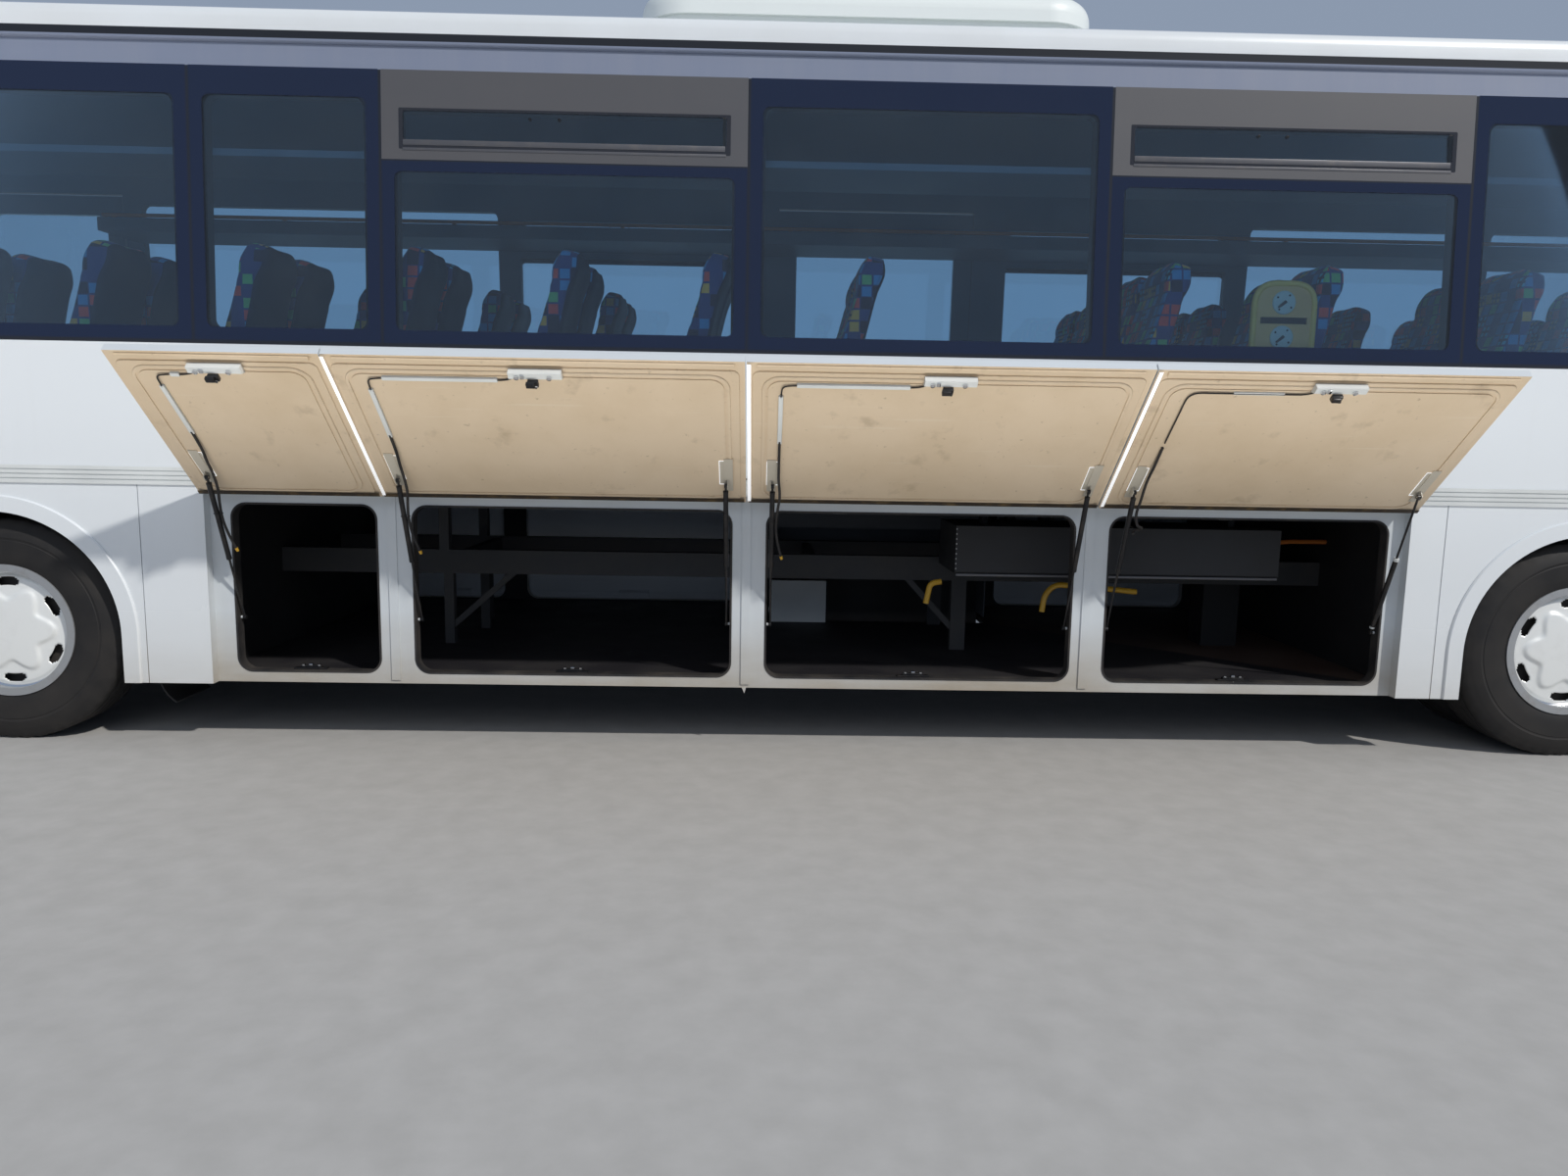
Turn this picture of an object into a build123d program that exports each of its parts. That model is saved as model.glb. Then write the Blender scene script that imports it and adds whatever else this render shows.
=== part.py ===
"""Intercity coach, 13.2 m long, as separate pieces.

Millimetres. X points forward, Y to the left, Z up. The origin lies on the ground,
on the centreline, midway along the body.
"""
from build123d import *
from math import atan2, cos, degrees, hypot, radians, sin
import os
from typing import NamedTuple

os.makedirs("parts", exist_ok=True)

# Overall sizes
LENGTH = 13200.0
WIDTH = 2550.0
FRONT_AXLE_X = 3880.0
WHEELBASE = 7200.0
TYRE_R = 510.0
HUB_Z = TYRE_R
REAR_AXLE_X = FRONT_AXLE_X - WHEELBASE
HALF_W = WIDTH / 2
NOSE_X = LENGTH / 2
TAIL_X = -LENGTH / 2

# Heights of the body section
SKIRT_Z = 287.0
HINGE_Z = 1173.0
STRIP_Z = (HINGE_Z + 10.0, HINGE_Z + 89.0)
BELT_Z = 1816.0
GLASS_TOP_Z = 2969.0
GUTTER_Z = 3060.0
ROOF_EDGE_Z = 3135.0
ROOF_CROWN = 165.0
SIDE_LEAN = 70.0
WALL = 60.0
FLOOR_Z = 1200.0
FLOOR_THICK = 50.0
STEP_RISE = 270.0

# Plan and side profile of the ends
FRONT_BOW = 110.0
FRONT_CORNER_R = 260.0
REAR_BOW = 40.0
REAR_CORNER_R = 150.0
FRONT_RAKE = 230.0
REAR_RAKE = 110.0
FRONT_WAIST_Z = 1300.0
FRONT_BROW = 260.0
REAR_BROW = 140.0
BROW_R = 90.0
END_PANEL = 620.0

# Luggage doors and the frame behind them
DOOR_THICK = 45.0
DOOR_GAP = 6.0
FRAME_GAP = 8.0
FRAME_DEPTH = 57.0
HINGE_R = 5.0
SEAT_GAP = 0.3
DOOR_BOTTOM_Z = 298.0
DOOR_OPEN_DEG = 130.8
JAMB_FRONT = 87.0
JAMB_REAR = 64.0
OPENING_TOP_Z = HINGE_Z - 65.0
OPENING_BOTTOM_Z = 333.0
OPENING_R = 70.0
SEAL = 9.0
SILL_RAIL_Z = OPENING_TOP_Z + 4.0

# Gas struts
STRUT_FRAME_PIN = (HALF_W - 90.0, 580.0)
STRUT_DOOR_PIN = (HALF_W - 70.0, HINGE_Z - 170.0)
STRUT_IN = 25.0
TUBE_R = 11.0
TUBE_BORE_R = 7.0
ROD_R = 5.0
EYE_R = 10.0
EYE_HALF = 6.5
EYE_PIN_R = 4.0
EYE_BORE_R = 4.3
STUD_R = 7.0
NECK = 28.0
EAR = (14.0, 18.0)
EAR_LOW = NECK - 10.0

# Side glass
GLASS = 8.0
PANE_GAP = 12.0
PANE_LIP = 65.0
SILL_LIP = 55.0
HEAD_LIP = 120.0
HOPPER_Z = (GLASS_TOP_Z - 373.0, GLASS_TOP_Z - 329.0, GLASS_TOP_Z - 157.0)
HOPPER_LIP = 74.0

# Right-hand passenger doors: front and rear edge along X
FRONT_DOOR = (5550.0, 4600.0)
MIDDLE_DOOR = (375.0, -875.0)
PASSENGER_DOOR_Z = (320.0, 2900.0)
PASSENGER_GAP = 10.0
WELL_Y = HALF_W - 815.0
ARM_R = 480.0
ARM_Z = (460.0, 1096.0)
ARM_PIVOT_Y = HALF_W - 85.0
ARM_PIN_IN = 25.0
ARM_EYE_R = 7.0
DOOR_SWING_OUT = 115.0

# Engine lid
LID_Z = (640.0, 1560.0)
LID_HALF_W = 880.0

# Wheels
TYRE_W = 285.0
RIM_R = 286.0
RIM_BORE_R = 268.0
RIM_FLANGE_R = 302.0
TWIN_PITCH = 330.0
TYRE_Y = HALF_W - 185.0
KINGPIN_Y = TYRE_Y - 165.0
SPINDLE_R = 45.0
ARCH_R = TYRE_R + 35.0
ARCH_LIP = 75.0
ARCH_PROUD = 10.0

# Frame rails
RAIL_Y = 400.0
RAIL_HALF = 30.0
RAIL_Z = (HUB_Z + 190.0, HUB_Z + 315.0)

# Derived planes of the body
WALL_IN = HALF_W - WALL
DOOR_IN = HALF_W - DOOR_THICK
FRAME_OUT = DOOR_IN - FRAME_GAP
FRAME_IN = FRAME_OUT - FRAME_DEPTH
HINGE_Y = HALF_W + HINGE_R + SEAT_GAP
FRONT_SPLIT_X = NOSE_X - END_PANEL
REAR_SPLIT_X = TAIL_X + END_PANEL

# Screens and lamps
SCREEN_Z = (1250.0, 2900.0)
SCREEN_SIDE = 90.0
REAR_GLASS_Z = (1950.0, 2850.0)
HEADLAMP = (640.0, 1090.0, 700.0, 880.0)
TAIL_LAMPS_Z = (880.0, 1010.0, 1140.0)
TAIL_LAMP_Y = HALF_W - 235.0
TAIL_LAMP_R = 52.0

# Roof cooler
COOLER_X = (1070.0, -1070.0)
COOLER_HALF_W = 850.0
COOLER_TOP_Z = 3500.0

# Hubs, discs and brakes
DISH_R = 190.0
DISC_T = 12.0
HAND_HOLES = 8
DRUM_R = 200.0
DRUM_IN_Y = TYRE_Y - 440.0
ROTOR_R = 215.0
HUB_R = 110.0
SPINDLE_END_Y = TYRE_Y + 55

# Axle beams and springs
BEAM_HALF = 55.0
BEAM_Z = (HUB_Z - 60, HUB_Z + 60)
KINGPIN_R = 22.0
JACK_PAD = (45.0, 150.0, 10.0)
SPRING_R = 115.0
REAR_SPRING_X = 480.0
AXLE_R = 75.0

# Cross members, bay posts and floor
DECK_Z = FLOOR_Z - FLOOR_THICK
CROSS_DEPTH = 60.0
RAIL_X = (TAIL_X + 320.0, NOSE_X - 380.0)
CROSS_X = (6000.0, 5200.0, 4500.0, 3180.0, 2134.0, 534.0, -1034.0, -2640.0, -4100.0, -4850.0)
RAIL_TIE_X = (5900.0, 3300.0, 2045.0, 200.0, -1700.0, -4500.0)
POST_HALF = 25.0
BRACES = ((2100.0, 420.0, 1760.0), (-570.0, 430.0, -300.0))
TRAY_Z = (305.0, 325.0)
WELL_SIDE = 40.0
TREAD_T = 30.0
SIDE_T = 6.0
STEPS = 3

# Wheel housings
HOUSING_IN = TYRE_Y - 530.0
HOUSING_SLACK = (95.0, 30.0)
FLAP_W = 310.0
HOUSING_T = 6.0

# Seats
SEAT_W = 440.0
AISLE = 270.0
CUSHION_H = 430.0
BACK_H = 1075.0
SEAT_DEPTH = 480.0
DRIVER_X = 4560.0

# Stowed backrest of the wheelchair place
REST_X = (-1688.0, -2000.0)
REST_Y = WALL_IN - 32.0
REST_Z = (1580.0, 2160.0)
REST_TUBE_R = 14.0

# Dashboard, luggage racks and mirrors
DASH_H = 420.0
COLUMN_R = 25.0
RACK_Z = (2610.0, 2640.0, 2690.0)
RACK_Y = 725.0
MIRROR = (NOSE_X, NOSE_X + 120.0, HALF_W + 25.0, HALF_W + 225.0, 2080.0, 2500.0)
MIRROR_EDGE_R = 35.0
MIRROR_ARM_R = 17.0


class Bay(NamedTuple):
    """One luggage bay: door edges, struts at its jambs, and whether the right side has it."""
    name: str
    x_front: float
    x_rear: float
    front_strut: bool
    rear_strut: bool
    rear_flipped: bool
    on_right: bool


BAYS = (
    Bay("1", 2940.0, 2134.0, True, False, False, True),
    Bay("2", 2134.0, 534.0, True, True, False, True),
    Bay("3", 534.0, -1034.0, True, True, False, False),
    Bay("4", -1034.0, -2480.0, True, True, True, True),
)
BAY_FRONT_X = BAYS[0].x_front
BAY_REAR_X = BAYS[-1].x_rear
PANEL_SEAMS_X = (BAY_FRONT_X + 290.0, BAY_REAR_X - 165.0)


class Pane(NamedTuple):
    """One side window between two seams; hopper panes carry a metal head with a flap."""
    x_front: float
    x_rear: float
    z_bottom: float
    hopper: bool
    on_right: bool


PANES = (
    Pane(5930.0, 4546.0, BELT_Z - 256.0, False, False),
    Pane(4546.0, 2947.0, BELT_Z, False, True),
    Pane(2947.0, 2131.0, BELT_Z, False, True),
    Pane(2131.0, 544.0, BELT_Z, True, True),
    Pane(544.0, -1037.0, BELT_Z, False, False),
    Pane(-1037.0, -2636.0, BELT_Z, True, True),
    Pane(-2636.0, -4235.0, BELT_Z, False, True),
    Pane(-4235.0, -5840.0, BELT_Z, False, True),
)


def block(x0, x1, y0, y1, z0, z1):
    """Box between two corners."""
    return Pos((x0 + x1) / 2, (y0 + y1) / 2, (z0 + z1) / 2) * Box(
        abs(x1 - x0), abs(y1 - y0), abs(z1 - z0))


def rod_x(y, z, r, x0, x1):
    """Cylinder along X."""
    return Pos((x0 + x1) / 2, y, z) * Rot(0, 90, 0) * Cylinder(r, abs(x1 - x0))


def rod_y(x, z, r, y0, y1):
    """Cylinder along Y."""
    return Pos(x, (y0 + y1) / 2, z) * Rot(90, 0, 0) * Cylinder(r, abs(y1 - y0))


def rod_z(x, y, r, z0, z1):
    """Cylinder along Z."""
    return Pos(x, y, (z0 + z1) / 2) * Cylinder(r, abs(z1 - z0))


def bar(start, end, wide, deep):
    """Square bar between two points."""
    a, b = Vector(*start), Vector(*end)
    plane = Plane(origin=a, z_dir=b - a)
    return extrude(plane * Rectangle(wide, deep), amount=(b - a).length)


def rounded_y(x0, x1, z0, z1, r, y0, y1):
    """Prism along Y with a rounded rectangle seen from the side."""
    face = RectangleRounded(abs(x1 - x0), abs(z1 - z0), r)
    plane = Plane(origin=((x0 + x1) / 2, min(y0, y1), (z0 + z1) / 2), x_dir=(1, 0, 0),
                  z_dir=(0, -1, 0))
    return extrude(plane * face, amount=abs(y1 - y0), dir=(0, 1, 0))


def rounded_x(y0, y1, z0, z1, r, x0, x1):
    """Prism along X with a rounded rectangle seen from the front."""
    face = RectangleRounded(abs(y1 - y0), abs(z1 - z0), r)
    plane = Plane(origin=(min(x0, x1), (y0 + y1) / 2, (z0 + z1) / 2), x_dir=(0, 1, 0),
                  z_dir=(1, 0, 0))
    return extrude(plane * face, amount=abs(x1 - x0), dir=(1, 0, 0))


def mirror_y(shape):
    """The same shape on the other side of the centreline."""
    return mirror(shape, about=Plane.XZ)


def join(shapes):
    """All shapes fused into one."""
    result = shapes[0]
    for shape in shapes[1:]:
        result = result + shape
    return result


def save(name, *shapes):
    """One STEP file for one node; separate solids stay separate."""
    solids = []
    for shape in shapes:
        solids.extend(shape.solids())
    export_step(Compound(children=solids) if len(solids) > 1 else solids[0],
                "parts/" + name + ".step")


def side_y(z, inset):
    """Half width of the body at height z, inset from its outer face."""
    lean = SIDE_LEAN * (z - BELT_Z) / (GUTTER_Z - BELT_Z)
    return HALF_W - inset - max(0.0, lean)


def body_solid(inset, floor_z):
    """The coach body as one closed solid, every face moved in by inset."""
    half = HALF_W - inset
    edge_z = ROOF_EDGE_Z - inset
    shoulder = side_y(ROOF_EDGE_Z, inset)
    section = make_face([
        Line((-half, floor_z), (half, floor_z)),
        Line((half, floor_z), (half, BELT_Z)),
        Line((half, BELT_Z), (shoulder, edge_z)),
        ThreePointArc((shoulder, edge_z), (0, edge_z + ROOF_CROWN), (-shoulder, edge_z)),
        Line((-shoulder, edge_z), (-half, BELT_Z)),
        Line((-half, BELT_Z), (-half, floor_z)),
    ])
    along = extrude(Plane.YZ.offset(TAIL_X) * section, amount=LENGTH, dir=(1, 0, 0))
    nose = NOSE_X - inset
    tail = TAIL_X + inset
    plan = make_face([
        Line((tail + REAR_BOW, -half), (nose - FRONT_BOW, -half)),
        ThreePointArc((nose - FRONT_BOW, -half), (nose, 0), (nose - FRONT_BOW, half)),
        Line((nose - FRONT_BOW, half), (tail + REAR_BOW, half)),
        ThreePointArc((tail + REAR_BOW, half), (tail, 0), (tail + REAR_BOW, -half)),
    ])
    top = ROOF_EDGE_Z + ROOF_CROWN - inset
    brow_r = BROW_R - inset / 2
    upright = extrude(Pos(0, 0, floor_z) * plan, amount=top + 50 - floor_z, dir=(0, 0, 1))
    front = [e for e in upright.edges().filter_by(Axis.Z) if e.center().X > 0]
    upright = fillet(front, FRONT_CORNER_R - inset)
    rear = [e for e in upright.edges().filter_by(Axis.Z)
            if abs(abs(e.center().Y) - half) < 1 and abs(e.center().X - tail - REAR_BOW) < 1]
    upright = fillet(rear, REAR_CORNER_R - inset)
    profile = make_face(Polyline(
        (tail, floor_z), (nose, floor_z), (nose, FRONT_WAIST_Z),
        (nose - FRONT_RAKE, GUTTER_Z), (nose - FRONT_RAKE - FRONT_BROW, top + 1),
        (tail + REAR_RAKE + REAR_BROW, top + 1), (tail + REAR_RAKE, GUTTER_Z),
        (tail, FRONT_WAIST_Z), close=True))
    lateral = extrude(Plane.XZ * profile, amount=HALF_W + 10, both=True)
    brow = [e for e in lateral.edges().filter_by(Axis.Y) if abs(e.center().Z - GUTTER_Z) < 1]
    lateral = fillet(brow, brow_r)
    return along & upright & lateral


def arch_shape(axle_x, radius, y0, y1):
    """Round-topped wheel opening, straight below the hub."""
    return (rod_y(axle_x, HUB_Z, radius, y0, y1)
            + block(axle_x - radius, axle_x + radius, y0, y1, SKIRT_Z - 100, HUB_Z))


def strut_stations(bay):
    """Where a strut stands along X, the way to its jamb, and whether its rod is on top."""
    places = []
    if bay.front_strut:
        places.append((bay.x_front - JAMB_FRONT - STRUT_IN, 1, False))
    if bay.rear_strut:
        places.append((bay.x_rear + JAMB_REAR + STRUT_IN, -1, bay.rear_flipped))
    return places


def bay_cut(bay, shrink, y0, y1):
    """Rounded opening of one bay, made smaller all round by shrink."""
    return rounded_y(bay.x_rear + JAMB_REAR + shrink, bay.x_front - JAMB_FRONT - shrink,
                     OPENING_BOTTOM_Z + shrink, OPENING_TOP_Z - shrink, OPENING_R - shrink,
                     y0, y1)


# Body shell, cut into the panels it is made of
outer = body_solid(0, SKIRT_Z)
wall_in = body_solid(WALL, SKIRT_Z - 20)
shell = outer - wall_in
skin = outer - body_solid(GLASS, SKIRT_Z - 10)
roof_top_z = ROOF_EDGE_Z + ROOF_CROWN + 10


def zone(x0, x1, y0, y1, z0, z1):
    """The part of the body shell inside a box."""
    return shell & block(x0, x1, y0, y1, z0, z1)


def glazing(panes):
    """Sheets of glass, metal heads and the holes behind them for one side, built on the left."""
    y0, y1 = WALL_IN - 200, HALF_W + 1
    sheets, heads, holes = [], [], []
    for pane in panes:
        front = pane.x_front - PANE_GAP / 2
        rear = pane.x_rear + PANE_GAP / 2
        top = HOPPER_Z[0] - 6 if pane.hopper else GLASS_TOP_Z
        head_lip = 20 if pane.hopper else HEAD_LIP
        sheets.append(skin & block(rear, front, y0, y1, pane.z_bottom, top))
        holes.append(rounded_y(rear + PANE_LIP, front - PANE_LIP, pane.z_bottom + SILL_LIP,
                               top - head_lip, 10 if pane.hopper else 40, y0, y1))
        if pane.hopper:
            flap = rounded_y(rear + HOPPER_LIP, front - HOPPER_LIP, HOPPER_Z[1], HOPPER_Z[2], 6,
                             y0, y1)
            frame = skin & block(rear, front, y0, y1, HOPPER_Z[0], GLASS_TOP_Z)
            heads.append(frame - flap)
            sheets.append(skin & rounded_y(rear + HOPPER_LIP, front - HOPPER_LIP,
                                           HOPPER_Z[1], HOPPER_Z[2], 6, y0, y1))
            holes.append(rounded_y(rear + HOPPER_LIP + 12, front - HOPPER_LIP - 12,
                                   HOPPER_Z[1] + 12, HOPPER_Z[2] - 12, 6, y0, y1))
    return sheets, heads, holes


def side_wall(panes, bays, strutted, bay_zones, doorways):
    """One side wall, built on the left, with its glass sheets and metal window heads."""
    y0, y1 = WALL_IN - 200, HALF_W + 20
    wall = zone(REAR_SPLIT_X, FRONT_SPLIT_X, 0, HALF_W, SKIRT_Z, GUTTER_Z)
    strip = block(REAR_SPLIT_X, FRONT_SPLIT_X, HALF_W - 1, HALF_W + 7, *STRIP_Z)
    for z in (STRIP_Z[0] + 18, STRIP_Z[0] + 38, STRIP_Z[0] + 58):
        strip = strip - block(REAR_SPLIT_X, FRONT_SPLIT_X, HALF_W + 3, HALF_W + 8, z, z + 5)
    wall = wall + strip
    sheets, heads, holes = glazing(panes)
    for piece in sheets + heads + holes:
        wall = wall - piece
    for x in PANEL_SEAMS_X:
        wall = wall - block(x - 2, x + 2, HALF_W - 6, y1, SKIRT_Z - 1, STRIP_Z[0])
    for front, rear in bay_zones:
        front_x, rear_x = front + DOOR_GAP / 2, rear - DOOR_GAP / 2
        wall = wall - block(rear_x, front_x, y0, y1, SKIRT_Z - 1, HINGE_Z)
        wall = wall + block(rear_x - 20, front_x + 20, FRAME_IN, FRAME_OUT, SKIRT_Z,
                            HINGE_Z + 20)
        leaf = block(rear_x, front_x, HALF_W - 1, HALF_W + 2, HINGE_Z, STRIP_Z[0])
        wall = wall + (leaf - rod_x(HINGE_Y, HINGE_Z, HINGE_R + SEAT_GAP, rear_x, front_x))
    wall = wall + block(REAR_SPLIT_X, FRONT_SPLIT_X, FRAME_IN, WALL_IN + 1, SILL_RAIL_Z,
                        HINGE_Z + 20)
    for first, second in zip(bays[:-1], bays[1:]):
        if first.x_rear == second.x_front:
            x = first.x_rear
            wall = wall + block(x - 20, x + 20, FRAME_OUT - 1, FRAME_OUT + 6,
                                OPENING_BOTTOM_Z - 30, HINGE_Z - 12)
    for bay in bays:
        wall = wall - bay_cut(bay, 0, y0, y1)
    for bay in strutted:
        for x, way, flipped in strut_stations(bay):
            wall = wall + rod_x(*STRUT_FRAME_PIN, STUD_R,
                                x + way * (EYE_HALF + SEAT_GAP), x + way * (STRUT_IN + 5))
    for axle_x in (FRONT_AXLE_X, REAR_AXLE_X):
        flare = arch_shape(axle_x, ARCH_R + ARCH_LIP, HALF_W - 1, HALF_W + ARCH_PROUD)
        rim_edges = flare.faces().sort_by(Axis.Y)[-1].edges()
        flare = chamfer(rim_edges, ARCH_PROUD * 0.6)
        flare = flare & block(axle_x - 900, axle_x + 900, 0, y1, SKIRT_Z, 2000)
        wall = (wall + flare) - arch_shape(axle_x, ARCH_R, y0, y1)
    for front, rear in doorways:
        wall = wall - block(rear - PASSENGER_GAP, front + PASSENGER_GAP, y0, y1, SKIRT_Z - 1,
                            PASSENGER_DOOR_Z[1] + PASSENGER_GAP)
    return wall, sheets, heads


right_bays = [bay for bay in BAYS if bay.on_right]
right_table = [pane for pane in PANES if pane.on_right]
left_wall, left_sheets, left_heads = side_wall(
    PANES, BAYS, BAYS, [(BAY_FRONT_X, BAY_REAR_X)], [])
right_wall, right_sheets, right_heads = side_wall(
    right_table, right_bays, [],
    [(right_bays[0].x_front, right_bays[1].x_rear), (right_bays[2].x_front, BAY_REAR_X)],
    [FRONT_DOOR, MIDDLE_DOOR])
post_x = FRONT_DOOR[0] - 45.0
bearing_z = ARM_Z[1] + 80.0
right_wall = right_wall + block(post_x - 18, FRONT_DOOR[0] + 60, ARM_PIVOT_Y - 16, WALL_IN + 1,
                                bearing_z, bearing_z + 25)
save("left_side_wall", left_wall)
save("right_side_wall", mirror_y(right_wall))
save("window_heads", *left_heads, *[mirror_y(head) for head in right_heads])

# Rubber seals lining the left bay openings
save("left_bay_seals", *[bay_cut(bay, 0, FRAME_IN, FRAME_OUT + 2)
                         - bay_cut(bay, SEAL, FRAME_IN - 1, FRAME_OUT + 3)
                         - rod_x(*STRUT_FRAME_PIN, STUD_R + 1, bay.x_rear, bay.x_front)
                         for bay in BAYS])

# Front and rear faces
front_face = zone(FRONT_SPLIT_X, NOSE_X, -HALF_W, HALF_W, SKIRT_Z, GUTTER_Z)
rear_face = zone(TAIL_X, REAR_SPLIT_X, -HALF_W, HALF_W, SKIRT_Z, GUTTER_Z)
near_nose = (NOSE_X - 520.0, NOSE_X + 10.0)
near_tail = (TAIL_X - 10.0, TAIL_X + 420.0)
screen_y = HALF_W - SCREEN_SIDE
windscreen = skin & rounded_x(-screen_y, screen_y, *SCREEN_Z, 120, *near_nose)
screen_hole = rounded_x(-screen_y + 70, screen_y - 70, SCREEN_Z[0] + 60, SCREEN_Z[1] - 60, 90,
                        *near_nose)
rear_window = skin & rounded_x(-900, 900, *REAR_GLASS_Z, 100, *near_tail)
rear_hole = rounded_x(-840, 840, REAR_GLASS_Z[0] + 60, REAR_GLASS_Z[1] - 60, 80, *near_tail)
front_face = front_face - windscreen - screen_hole
rear_face = rear_face - rear_window - rear_hole

lamps = []
for way in (-1, 1):
    cut = rounded_x(way * HEADLAMP[0], way * HEADLAMP[1], HEADLAMP[2], HEADLAMP[3], 70,
                    *near_nose)
    lamps.append(shell & cut)
    front_face = front_face - cut
    for z in TAIL_LAMPS_Z:
        cut = rod_x(way * TAIL_LAMP_Y, z, TAIL_LAMP_R, *near_tail)
        lamps.append(shell & cut)
        rear_face = rear_face - cut
for z in (960.0, 1020.0, 1080.0):
    front_face = front_face - rounded_x(-420, 420, z, z + 34, 15, *near_nose)
lid = zone(*near_tail, -LID_HALF_W, LID_HALF_W, *LID_Z)
rear_face = rear_face - block(*near_tail, -LID_HALF_W - DOOR_GAP, LID_HALF_W + DOOR_GAP,
                              LID_Z[0] - DOOR_GAP, LID_Z[1] + DOOR_GAP)
for row in range(7):
    z = LID_Z[0] + 480 + row * 50
    for way in (-1, 1):
        lid = lid - rounded_x(way * 140, way * 760, z, z + 26, 12, *near_tail)
bumper_z = (SKIRT_Z + 20, 640.0)
band = zone(TAIL_X - 10, NOSE_X + 10, -HALF_W, HALF_W, *bumper_z)
front_bumper = band & block(NOSE_X - 480, NOSE_X + 10, -HALF_W, HALF_W, 0, 2000)
rear_bumper = band & block(TAIL_X - 10, TAIL_X + 380, -HALF_W, HALF_W, 0, 2000)
front_face = front_face - front_bumper
rear_face = rear_face - rear_bumper
front_bumper = front_bumper - rounded_x(-460, 460, 350, 470, 30, *near_nose)
save("front_face", front_face)
save("rear_face", rear_face)
save("windscreen", windscreen)
save("rear_window", rear_window)
save("bumpers", front_bumper, rear_bumper)
save("lamps", *lamps)
save("engine_lid", lid)

# Roof with its drip rails and two hatches
roof = zone(TAIL_X, NOSE_X, -HALF_W, HALF_W, GUTTER_Z, roof_top_z)
rail_y = side_y(GUTTER_Z, 0)
rail = block(REAR_SPLIT_X, FRONT_SPLIT_X - 150, rail_y - 30, rail_y + 14, GUTTER_Z + 4,
             ROOF_EDGE_Z - 4)
rail = fillet([e for e in rail.edges().filter_by(Axis.X) if e.center().Y > rail_y], 13)
roof = roof + rail + mirror_y(rail)
above_roof = block(-4500, 4500, -HALF_W, HALF_W, 3100, 3700) - outer
for x in (3400.0, -3300.0):
    hatch = extrude(Pos(x, 0, 3200) * RectangleRounded(900, 700, 60), amount=145)
    hatch = fillet(hatch.faces().sort_by(Axis.Z)[-1].edges(), 25)
    roof = roof + (hatch & above_roof)
save("roof", roof)

# Roof cooler: a long tub with two raised belts round it
cooler_l = COOLER_X[0] - COOLER_X[1]
cooler_x = (COOLER_X[0] + COOLER_X[1]) / 2
cooler = extrude(Pos(cooler_x, 0, 3100) * RectangleRounded(cooler_l, 2 * COOLER_HALF_W, 240),
                 amount=COOLER_TOP_Z - 3100)
cooler = fillet(cooler.faces().sort_by(Axis.Z)[-1].edges(), 90)
for z in (3262.0, 3330.0):
    ring = extrude(Pos(cooler_x, 0, z) * (RectangleRounded(cooler_l + 4, 2 * COOLER_HALF_W + 4, 242)
                                         - RectangleRounded(cooler_l - 36, 2 * COOLER_HALF_W - 36,
                                                            222)), amount=30)
    cooler = cooler - ring
save("roof_cooler", cooler & above_roof)


def swing(y, z, deg):
    """A point of a closed left luggage door after the door has opened by deg."""
    dy, dz = y - HINGE_Y, z - HINGE_Z
    c, s = cos(radians(deg)), sin(radians(deg))
    return HINGE_Y + dy * c - dz * s, HINGE_Z + dy * s + dz * c


PIN_OPEN = swing(*STRUT_DOOR_PIN, DOOR_OPEN_DEG)
STRUT_OPEN = hypot(PIN_OPEN[0] - STRUT_FRAME_PIN[0], PIN_OPEN[1] - STRUT_FRAME_PIN[1])
STRUT_SHUT = hypot(STRUT_DOOR_PIN[0] - STRUT_FRAME_PIN[0],
                   STRUT_DOOR_PIN[1] - STRUT_FRAME_PIN[1])


def bay_door(bay):
    """One luggage door, closed on the left side: outer pan, pressed inner skin, hinge, lock."""
    rear, front = bay.x_rear + DOOR_GAP / 2, bay.x_front - DOOR_GAP / 2
    top = HINGE_Z - 8
    pan_in = DOOR_IN + 12
    door = block(rear, front, pan_in, HALF_W, DOOR_BOTTOM_Z, top)
    field = rounded_y(rear + 22, front - 22, DOOR_BOTTOM_Z + 46, top - 20, 30, pan_in - 6,
                      pan_in + 1)
    field = fillet(field.faces().sort_by(Axis.Y)[0].edges(), 4)
    crown = rounded_y(rear + 58, front - 58, DOOR_BOTTOM_Z + 66, top - 38, 75, DOOR_IN,
                      pan_in + 1)
    crown = fillet(crown.faces().sort_by(Axis.Y)[0].edges(), 5)
    groove = (rounded_y(rear + 72, front - 72, DOOR_BOTTOM_Z + 80, top - 52, 62, DOOR_IN - 1,
                        DOOR_IN + 4)
              - rounded_y(rear + 82, front - 82, DOOR_BOTTOM_Z + 90, top - 62, 52, DOOR_IN - 2,
                          DOOR_IN + 5))
    edge = block(rear + 40, front - 40, pan_in - 9, pan_in + 1, DOOR_BOTTOM_Z + 12,
                 DOOR_BOTTOM_Z + 30)
    door = door + field + (crown - groove) + edge
    leaf = block(rear, front, HALF_W - 6, HINGE_Y, top - 2, HINGE_Z)
    door = door + leaf + rod_x(HINGE_Y, HINGE_Z, HINGE_R, rear, front)
    mid = (rear + front) / 2
    lock_z = OPENING_BOTTOM_Z + 12
    cover = make_face(Polyline((DOOR_IN + 1, lock_z), (DOOR_IN - 24, lock_z),
                               (DOOR_IN - 24, lock_z + 30), (DOOR_IN + 1, lock_z + 46),
                               close=True))
    cover = extrude(Plane.YZ.offset(mid - 101) * cover, amount=202, dir=(1, 0, 0))
    return door + cover


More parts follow.
